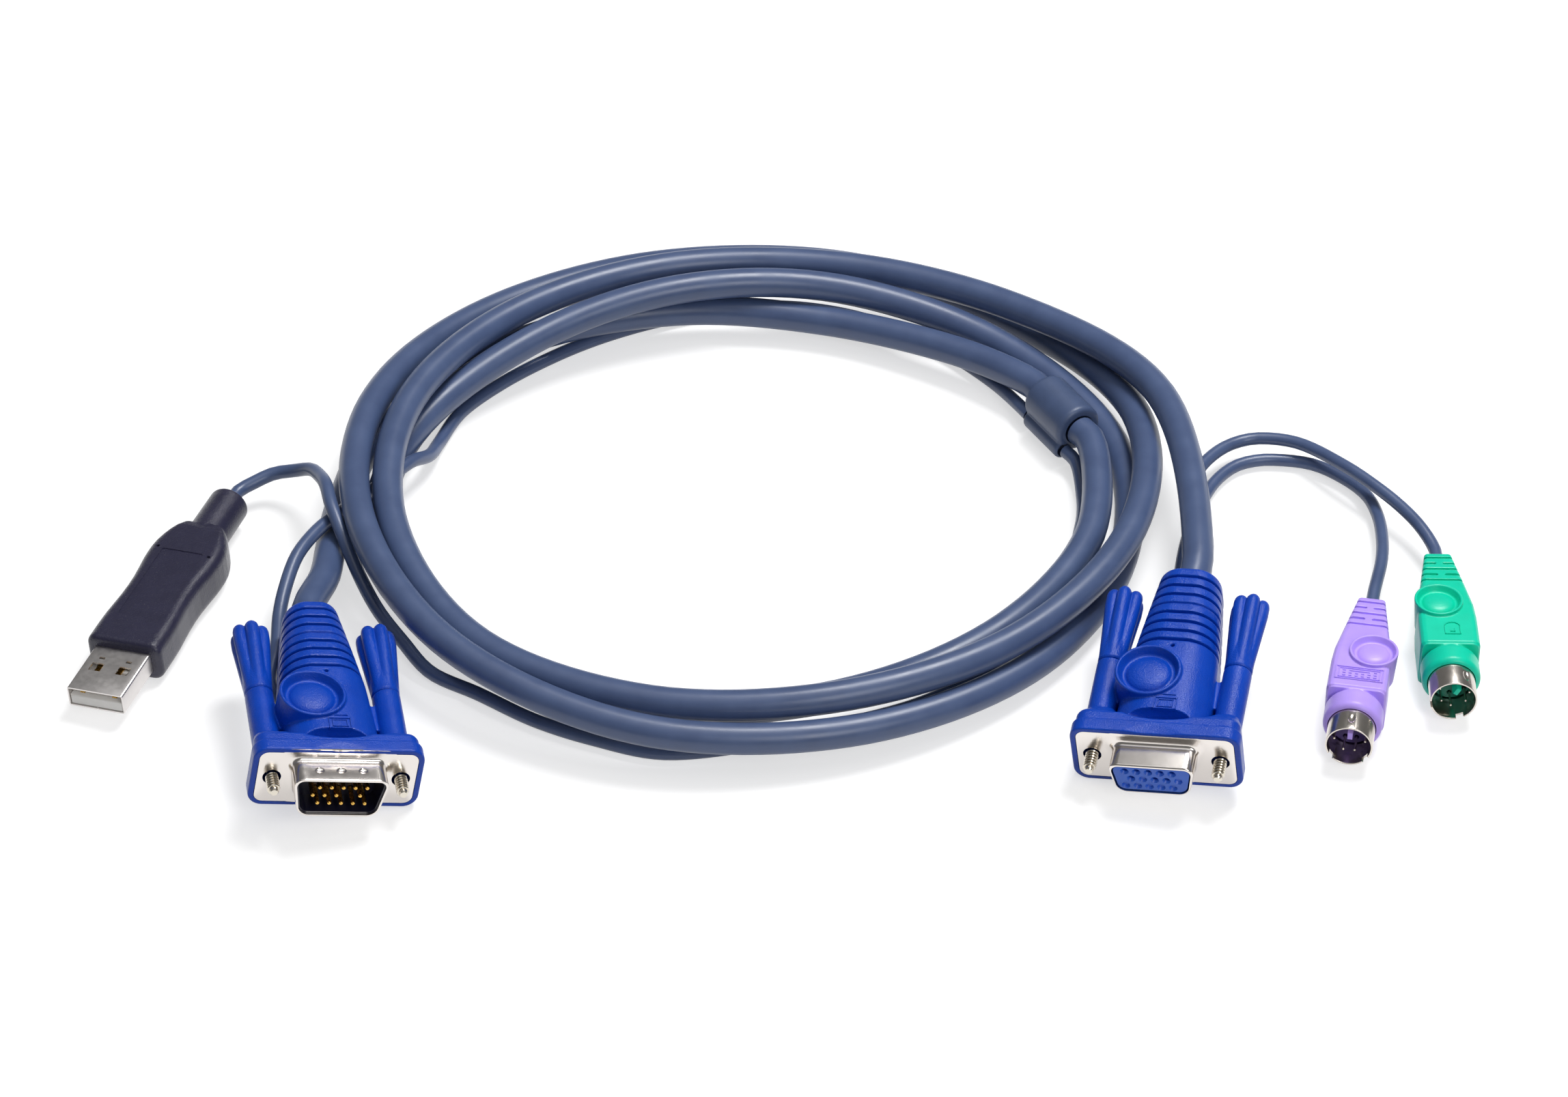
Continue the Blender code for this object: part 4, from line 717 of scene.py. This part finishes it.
def contact_places(shift):
    """Three rows of five, top row first, the middle row half a pitch to one side."""
    return [((column - 2) * PIN_PITCH + shift * PIN_PITCH / 4 * (1 if row == 1 else -1), (1 - row) * ROW_PITCH)
            for row in range(3) for column in range(5)]


# Moulded glass-filled thermoplastic: blue-black and satin; on the walls of the male cup it is a dark sheet standing as
# painted shade
black_insert, tree, shader = surface("glass-filled black thermoplastic", "#15162C", 0.3, ior=1.55)
place = node(tree, "ShaderNodeTexCoord").outputs["Object"]
grain = node(tree, "ShaderNodeTexNoise", Vector=place, Scale=2500.0, Detail=3.0)
bump = node(tree, "ShaderNodeBump", Strength=0.2, Distance=0.03 * MM, Height=grain.outputs["Fac"])
tree.links.new(bump.outputs[0], shader.inputs["Normal"])
# Moulded polyester: bright mid blue, the colour code of a VGA port
blue_insert, tree, shader = surface("moulded blue polyester", "#2A63D0", 0.38, ior=1.57)
place = node(tree, "ShaderNodeTexCoord").outputs["Object"]
cloud = node(tree, "ShaderNodeTexNoise", Vector=place, Scale=500.0, Detail=3.0)
tint = node(tree, "ShaderNodeMix", {"data_type": "RGBA"}, Factor=cloud.outputs["Fac"], i6=linear("#2459C4"),
            i7=linear("#326CDA"))
tree.links.new(tint.outputs[2], shader.inputs["Base Color"])
# Gold flash over nickel: deep yellow metal, a little worn in gloss
gold, tree, shader = surface("gold-flashed brass", "#E2B45C", 0.22, metallic=1.0)
place = node(tree, "ShaderNodeTexCoord").outputs["Object"]
cloud = node(tree, "ShaderNodeTexNoise", Vector=place, Scale=900.0, Detail=3.0)
gloss = node(tree, "ShaderNodeMapRange", i0=cloud.outputs["Fac"], i1=0.3, i2=0.7, i3=0.16, i4=0.34)
tree.links.new(gloss.outputs[0], shader.inputs["Roughness"])

male_places = contact_places(-1)
del male_places[8]
# The insert's walls run up inside the rim as a dark liner: painted shade where the inside of the metal rim lies in
# shade
insert = d_block("vga_male_insert_with_painted_shade_liner", 16.9, 8.4, 1.75, -5.2, 4.0)
cup = d_block("vga_male_cup", 16.3, 7.8, 1.5, -7.0, -0.4)
cut_away(insert, cup, *[bar("pin_hole", place, 0.6, -1, 2.3, 20) for place in male_places])
finish(insert, MALE, black_insert, "vga_male_insulator", angle=30)
pin = bar("vga_male_contact", (0, 0), 0.45, -5.2, 2.0, 20)
pick("EDGE", lambda m, d: m.y < -5.19)
round_off(0.36, 5)
for number, (x, z) in enumerate(male_places, 1):
    one = twin(pin, "vga_male_contact_%02d" % number)
    one.data.transform(Matrix.Translation((x * MM, 0, z * MM)))
    finish(one, MALE, gold, "vga_male_pin_%02d" % number, angle=40)
bpy.data.objects.remove(pin)

insert = d_block("vga_female_insert", 14.8, 6.3, 1.5, -5.6, 4.0)
pick("EDGE", lambda m, d: m.y < -5.59)
round_off(0.15, 2)
sockets = []
for place in contact_places(1):
    sockets.append(bar("socket", place, 0.5, -7, -1.6, 20))
    sockets.append(bar("countersink", place, 1.02, -5.9, -5.05, 20, 0.5))
cut_away(insert, *sockets)
finish(insert, FEMALE, blue_insert, "vga_female_insulator", angle=30)

# ---------------------------------------------------------------- thumbscrews
# Four nickel-plated steel jackscrews run through the hood's sleeves. Each carries a fluted thumb head of the same blue
# PVC, moulded on, with six broad lobes that swell away from the seam, and turns with it.
screw = bar("jackscrew", (0, 0), 0.7, -4.5, -4.2, 32, 0.93)
pick("FACE", lambda m, n: n.y > 0.9)
draw_out(5.2)
draw_out(0.3, 1.3, 1.3)
draw_out(29.0)
# A 4-40 thread: one turn of a ridge every 0.66 mm, drawn by the Screw modifier, its end turned under
leave_edit()
bpy.ops.mesh.primitive_circle_add(vertices=8, radius=0.4 * MM, fill_type="NOTHING", location=(0.9 * MM, -3.7 * MM, 0))
ridge = start("jackscrew_thread")
bpy.ops.mesh.select_all(action="SELECT")
bpy.ops.transform.resize(value=(1, 0.66, 1), center_override=(0, -3.7 * MM, 0))
apply_modifier(ridge, "SCREW", axis="Y", angle=2 * pi, screw_offset=0.66 * MM, iterations=6, steps=24,
               render_steps=24)
bpy.ops.object.mode_set(mode="EDIT")
bpy.ops.mesh.select_all(action="SELECT")
bpy.ops.mesh.fill_holes(sides=8)
bpy.ops.mesh.select_all(action="SELECT")
bpy.ops.mesh.normals_make_consistent(inside=False)
leave_edit()
ridge.data.transform(Matrix.Rotation(radians(90), 4, "Y"))
ridge.select_set(True)
screw.select_set(True)
bpy.context.view_layer.objects.active = screw
bpy.ops.object.join()

head = bar("thumb_head", (0, 0), 2.5, 23.3, 23.75, 48, 2.8)
pick("FACE", lambda m, n: n.y > 0.9)
draw_out(3.0, 1.01, 1.01)
draw_out(5.5, 0.98, 0.98)
draw_out(8.3)
draw_out(0.6, 0.8, 0.8)
lobe = bar("thumb_lobe", (0, 1.2), 1.6, 24.0, 38.0, 32, 1.45)
pick("VERT", lambda m, n: m.y > 37.9)
bpy.ops.transform.translate(value=(0, 0, 1.27 * MM))
pick("FACE", lambda m, n: n.y > 0.9)
for step, size in ((2.3, 1.0), (0.8, 0.9), (0.6, 0.72), (0.3, 0.5)):
    draw_out(step, size, size, (0, 0, 2.47))
for number in range(1, 6):
    other = twin(lobe, "thumb_lobe_%d" % number)
    other.data.transform(Matrix.Rotation(radians(60 * number), 4, "Y"))
    other.select_set(True)
lobe.select_set(True)
head.select_set(True)
for number in range(1, 6):
    bpy.data.objects["thumb_lobe_%d" % number].select_set(True)
bpy.context.view_layer.objects.active = head
bpy.ops.object.join()
mould(head, 0.13, 1, 0.6)
cut_away(head, bar("head_bore", (0, 0), 1.57, 22, 30.6, 32))

screw_nickel = nickel("nickel-plated turned steel", "#D6CFC2", 0.2)
for plug, place in (("male", MALE), ("female", FEMALE)):
    for word, x, turn in (("left", -SCREW_X, 2), ("right", SCREW_X, 16)):
        seat = place @ Matrix.Translation((x * MM, 0, 0)) @ Matrix.Rotation(radians(turn), 4, "Y")
        body = "%s_%s_thumbscrew" % (plug, word)
        finish(twin(screw, "vga_%s_jackscrew_%s" % (plug, word)), seat, screw_nickel,
               "vga_%s_screw_%s" % (plug, word), body, 35)
        finish(twin(head, "vga_%s_thumb_head_%s" % (plug, word)), seat, blue_pvc,
               "vga_%s_knob_%s" % (plug, word), body, 50)
bpy.data.objects.remove(screw)
bpy.data.objects.remove(head)

# ---------------------------------------------------------------- USB plug
# A waisted overmould of near-black textured PVC, with a round neck over the cord and a shallow label panel, grips a
# folded and nickel-plated steel shell. In the shell a white polyester tongue carries four gold-plated contacts.
usb_body = block("usb_moulding", (-8, 0, -4.4), (8, 1.4, 4.4))
round_long_edges(2.3, 8)
pick("EDGE", lambda m, d: m.y < 0.01)
round_off(1.2, 5)
pick("FACE", lambda m, n: n.y > 0.9)
at, width = 1.4, 8.0
for y, half in ((3, 8.0), (6, 8.0), (9, 7.9), (12, 7.65), (15, 7.4), (18, 7.3), (21, 7.35), (24, 7.6), (27, 7.9),
                (29, 8.0), (31, 8.0), (33, 7.8), (35, 7.3), (36.8, 6.6), (38.2, 5.9), (39.2, 5.2), (40, 4.6)):
    draw_out(y - at, half / width, 1.0 if y < 38 else (0.99 if y < 39 else 0.96))
    at, width = y, half
neck = bar("usb_neck", (0, 0), 4.25, 37.0, 52.0, 48, 4.15)
pick("EDGE", lambda m, d: m.y > 51.9)
round_off(0.5, 3)
cut_away(usb_body, neck, how="UNION")
mould(usb_body, 0.2, 3)
panel = block("usb_panel", (-4.5, 8.0, 4.26), (4.5, 30.0, 5.0))
pick("EDGE", lambda m, d: abs(d.z) > 0.9)
round_off(0.5, 3)
socket = block("usb_shell_pocket", (-6.04, -1, -2.29), (6.04, 2.3, 2.29))
round_long_edges(0.45, 3)
cut_away(usb_body, panel, socket, bar("usb_cord_bore", (0, 0), 1.7, 50, 53, 32),
         bar("pin_mark", (-5.7, 30.4), 0.35, 3.9, 5, 16, upright=True),
         bar("pin_mark", (5.9, 29.4), 0.35, 3.6, 5, 16, upright=True))
# Moulded PVC over a coarse eroded texture: near-black navy, with bright sparkles along the rounded edges
navy_pvc, tree, shader = surface("textured navy-black PVC", "#29283F", 0.26, ior=1.5)
place = node(tree, "ShaderNodeTexCoord").outputs["Object"]
cloud = node(tree, "ShaderNodeTexNoise", Vector=place, Scale=300.0, Detail=4.0)
tint = node(tree, "ShaderNodeMix", {"data_type": "RGBA"}, Factor=cloud.outputs["Fac"], i6=linear("#242338"),
            i7=linear("#2F2E46"))
tree.links.new(tint.outputs[2], shader.inputs["Base Color"])
# The grit is about 0.15 mm; it is drawn at 0.28 mm, so that it shows
grain = node(tree, "ShaderNodeTexNoise", Vector=place, Scale=3600.0, Detail=2.0, Roughness=0.65)
bump = node(tree, "ShaderNodeBump", Strength=1.0, Distance=0.1 * MM, Height=grain.outputs["Fac"])
tree.links.new(bump.outputs[0], shader.inputs["Normal"])
finish(usb_body, USB, navy_pvc, "usb_overmould", angle=40)

shell = block("usb_steel_shell", (-6, -13.5, -2.25), (6, 2, 2.25))
round_long_edges(0.45, 4)
pick("FACE", lambda m, n: n.y < -0.9)
bpy.ops.mesh.inset(thickness=0.3 * MM)
draw_out(15.2)
pick("EDGE", lambda m, d: m.y < -13.49)
round_off(0.06, 2)
openings = []
for x in (-2.9, 2.9):
    openings.append(block("window", (x - 1.25, -7.4, 1.5), (x + 1.25, -5.0, 3)))
    openings.append(block("tab_slot", (x - 0.6, -3.7, 1.5), (x + 0.6, -3.1, 3)))
openings.append(block("seam", (-0.06, -14, -3), (0.06, 0, -1.9)))
cut_away(shell, *openings)
shell_nickel = nickel("folded nickel-plated steel", "#DAD6D4", 0.36)
finish(shell, USB, shell_nickel, "usb_shell", angle=30)

tongue = block("usb_polyester_tongue", (-5.6, -13.3, -1.9), (5.6, 1.6, 0.25))
pick("EDGE", lambda m, d: m.y < -13.2)
round_off(0.25, 3)
# Moulded polyester: milk white and softly glossy
white_polyester, tree, shader = surface("milk white polyester", "#F7F6F3", 0.35, ior=1.57)
place = node(tree, "ShaderNodeTexCoord").outputs["Object"]
cloud = node(tree, "ShaderNodeTexNoise", Vector=place, Scale=400.0, Detail=2.0)
tint = node(tree, "ShaderNodeMix", {"data_type": "RGBA"}, Factor=cloud.outputs["Fac"], i6=linear("#F2F0EC"),
            i7=linear("#FAF9F6"))
tree.links.new(tint.outputs[2], shader.inputs["Base Color"])
finish(tongue, USB, white_polyester, "usb_tongue", angle=30)
for number, front in enumerate((-12.1, -11.1, -11.1, -12.1)):
    x = (number - 1.5) * 2.3
    contact = block("usb_contact_strip_%d" % (number + 1), (x - 0.5, front, 0.2), (x + 0.5, front + 9, 0.5))
    pick("EDGE", lambda m, d: m.y < -11 and m.z > 0.4)
    round_off(0.12, 2)
    finish(contact, USB, gold, "usb_contact_%d" % (number + 1), angle=30)

# ---------------------------------------------------------------- PS/2 plugs
# The keyboard plug is purple and the mouse plug green, as on the ports. Each is one soft PVC moulding: a fat round
# nose, a faceted body, a dished button and a boot slotted right across and in halves, so that it bends with the cord.


def boot_size(y):
    """How wide the tapered boot is at a distance from the front, in millimetres."""
    return 9.8 - 4.4 * (y - 20.5) / 14.5


def ps2_hood(name, button):
    body = block(name, (-5.6, 2.8, -5.2), (5.6, 3.1, 5.2))
    round_long_edges(1.3, 3)
    pick("FACE", lambda m, n: n.y > 0.9)
    at, size, height = 3.1, 11.2, 10.4
    stations = [(3.4, 11.8, 11.0), (12.0, 11.7, 11.0), (16.0, 11.2, 10.6), (20.5, 9.8, 9.6)]
    for middle in (24.4, 28.8, 33.2):
        for y, sunk in ((middle - 0.34, 0), (middle - 0.3, 0.8), (middle + 0.3, 0.8), (middle + 0.34, 0)):
            stations.append((y, boot_size(y) - 2 * sunk, boot_size(y) - 2 * sunk))
    stations += [(34.7, 5.5, 5.5), (35.0, 4.9, 4.9)]
    for y, new_size, new_height in stations:
        draw_out(y - at, new_size / size, new_height / height)
        at, size, height = y, new_size, new_height
    nose = bar(name + "_nose", (0, 0), 5.8, -2.9, 2.4, 64)
    pick("EDGE", lambda m, d: abs(d.y) < 0.1 and m.y < -2.8)
    round_off(1.3, 6)
    pick("EDGE", lambda m, d: abs(d.y) < 0.1 and m.y > 2.3)
    round_off(0.8, 5)
    neck = bar(name + "_neck", (0, 0), 5.2, 0, 4, 64)
    leave_edit()
    boss = bar(name + "_boss", button, 4.3, -1.0, 6.25, 48, 4.85, upright=True)
    pick("EDGE", lambda m, d: m.z > 6.2)
    round_off(0.2, 2)
    cut_away(body, nose, neck, boss, how="UNION")
    dish = bar(name + "_dish", button, 3.75, 4.95, 7.0, 48, 4.75, upright=True)
    pick("FACE", lambda m, n: n.z < -0.9)
    bpy.ops.mesh.inset(thickness=0.5 * MM)
    for step, size in ((0.28, 0.94), (0.26, 0.87), (0.2, 0.76), (0.12, 0.6), (0.06, 0.35)):
        draw_out(step, size, size, (*button, 0), (0, 0, 1))
    slots = [dish]
    for middle in (26.6, 31.0):
        half = boot_size(middle) / 2
        for side in (-1, 1):
            near, far = sorted((side * 0.7, side * (half + 1)))
            for low, high in ((half - 0.85, half + 1), (-half - 1, -half + 0.85)):
                slots.append(block("half_slot", (near, middle - 0.33, low), (far, middle + 0.33, high)))
            near, far = sorted((side * (half - 0.85), side * (half + 1)))
            slots.append(block("half_slot", (near, middle - 0.33, -half - 1), (far, middle + 0.33, half + 1)))
    cut_away(body, *slots)
    mould(body, 0.15, 2, 0.6)
    cut_away(body, bar("shell_pocket", (0, 0), 4.8, -4, 2.3, 64), bar("cord_bore", (0, 0), 1.6, 33, 36, 24))
    return body


def ps2_pvc(name, colour, dark, light):
    """Moulded PVC in a port colour: satin, a little waxy, with a fine eroded grain."""
    pvc, tree, shader = surface(name, colour, 0.34, ior=1.5)
    shader.inputs["Specular IOR Level"].default_value = 0.35
    place = node(tree, "ShaderNodeTexCoord").outputs["Object"]
    cloud = node(tree, "ShaderNodeTexNoise", Vector=place, Scale=320.0, Detail=3.0)
    tint = node(tree, "ShaderNodeMix", {"data_type": "RGBA"}, Factor=cloud.outputs["Fac"], i6=linear(dark),
                i7=linear(light))
    tree.links.new(tint.outputs[2], shader.inputs["Base Color"])
    grain = node(tree, "ShaderNodeTexNoise", Vector=place, Scale=4000.0, Detail=2.0)
    bump = node(tree, "ShaderNodeBump", Strength=0.3, Distance=0.04 * MM, Height=grain.outputs["Fac"])
    tree.links.new(bump.outputs[0], shader.inputs["Normal"])
    return pvc


def frame_line(x, y, half_x, half_y):
    return [(x - half_x, y - half_y), (x + half_x, y - half_y), (x + half_x, y + half_y), (x - half_x, y + half_y),
            (x - half_x, y - half_y)]


# The keyboard pictogram is two frames with three rows of keys in them, the mouse pictogram a round-ended outline
frames = [frame_line(0.1, 7.1, 4.6, 1.85), frame_line(0.1, 7.1, 4.0, 1.35)]
keys = [[(-1.7, 7.85), (1.9, 7.85)]]
for row, gaps in ((6.35, range(6)), (7.1, range(6)), (7.85, (0, 5))):
    keys += [[(-3.05 + 1.22 * gap, row), (-2.75 + 1.22 * gap, row)] for gap in gaps]
mouse = [[(-1.0 + 1.5 * cos(a * pi / 8), 8.0 + 1.2 * sin(a * pi / 8)) for a in range(9)]
         + [(-2.5, 5.6), (0.5, 5.6), (0.5, 8.0)], [(-1.4, 6.4), (-0.6, 6.4), (-0.6, 7.0)]]
mouse = [[(x + 1.6, y) for x, y in run] for run in mouse]
din_nickel = nickel("deep-drawn nickel-plated steel", "#D3CCC4", 0.22)
pin_places = [(-2.4, 2.2), (2.4, 2.2), (-3.0, 0.0), (3.0, 0.0), (-1.1, -2.4), (1.1, -2.4)]
# Each plug's dark colour below is a darker copy of its own colour, painted shade for its insert deep in the shell
for plug, place, button, turn, mark, colour, dark, pvc in (
        ("keyboard", KEYBOARD, (2.2, 14.3), 0, (frames, keys), "purple", "#55448A",
         ps2_pvc("moulded purple PVC", "#BCA0FD", "#B598F8", "#C3A8FF")),
        ("mouse", MOUSE, (-1.5, 15.8), 30, (mouse,), "green", "#107A68",
         ps2_pvc("moulded green PVC", "#00D0AA", "#00C8A2", "#06DAB4"))):
    name = "ps2_" + plug
    hood = ps2_hood(name + "_moulding", button)
    for lines, width in zip(mark, (0.32, 0.5)):
        leave_edit()
        strokes(name + "_pictogram", lines, 5.5, width, 0.22).name = "%s_lines_%d" % (name, 100 * width)
    leave_edit()
    for thing in bpy.context.scene.objects:
        thing.select_set(thing.name.startswith(name + "_lines"))
    hood.select_set(True)
    bpy.context.view_layer.objects.active = hood
    bpy.ops.object.join()
    finish(hood, place, pvc, name + "_hood", angle=40)

    spin = Matrix.Rotation(radians(turn), 4, "Y")
    shell = bar(name + "_steel_shell", (0, 0), 4.65, -8.6, 2.0, 64)
    pick("FACE", lambda m, n: n.y < -0.9)
    bpy.ops.mesh.inset(thickness=0.4 * MM)
    draw_out(10.4)
    pick("EDGE", lambda m, d: m.y < -8.59)
    round_off(0.14, 3)
    notches = []
    for angle in (-50, 50):
        notch = block("notch", (-0.75, -9.5, -5.4), (0.75, -7.4, -3.6))
        leave_edit()
        notch.data.transform(Matrix.Rotation(radians(angle), 4, "Y"))
        notches.append(notch)
    leave_edit()
    bpy.ops.mesh.primitive_uv_sphere_add(segments=24, ring_count=12, radius=MM,
                                         location=(0, -5.6 * MM, 4.85 * MM), scale=(0.85, 1.6, 0.5))
    notches.append(start("dimple"))
    cut_away(shell, *notches)
    finish(shell, place @ spin, din_nickel, name + "_shell", angle=32)

    # The insert is drawn in a darker copy of the plug's own colour: painted shade for the shade deep inside the shell,
    # while its key keeps the plug's colour
    shaded_insert_plastic = surface("moulded %s insert plastic" % colour, dark, 0.4)[0]
    core = bar(name + "_insert", (0, 0), 3.95, -2.5, 1.6, 48)
    cut_away(core, *[bar("pin_hole", spot, 0.5, -3, 0, 16) for spot in pin_places])
    finish(core, place @ spin, shaded_insert_plastic, name + "_insulator", angle=30)
    tooth = block(name + "_key", (-0.5, -7.2, 0.6), (0.5, -2.3, 2.2))
    pick("EDGE", lambda m, d: m.y < -7.1)
    round_off(0.12, 2)
    finish(tooth, place @ spin, pvc, None, angle=30)
    for number, (x, z) in enumerate(pin_places, 1):
        contact = bar("%s_contact_%d" % (name, number), (x, z), 0.24, -6.7, -0.5, 20)
        pick("EDGE", lambda m, d: m.y < -6.69)
        round_off(0.16, 3)
        finish(contact, place @ spin, screw_nickel, "%s_pin_%d" % (name, number), angle=40)
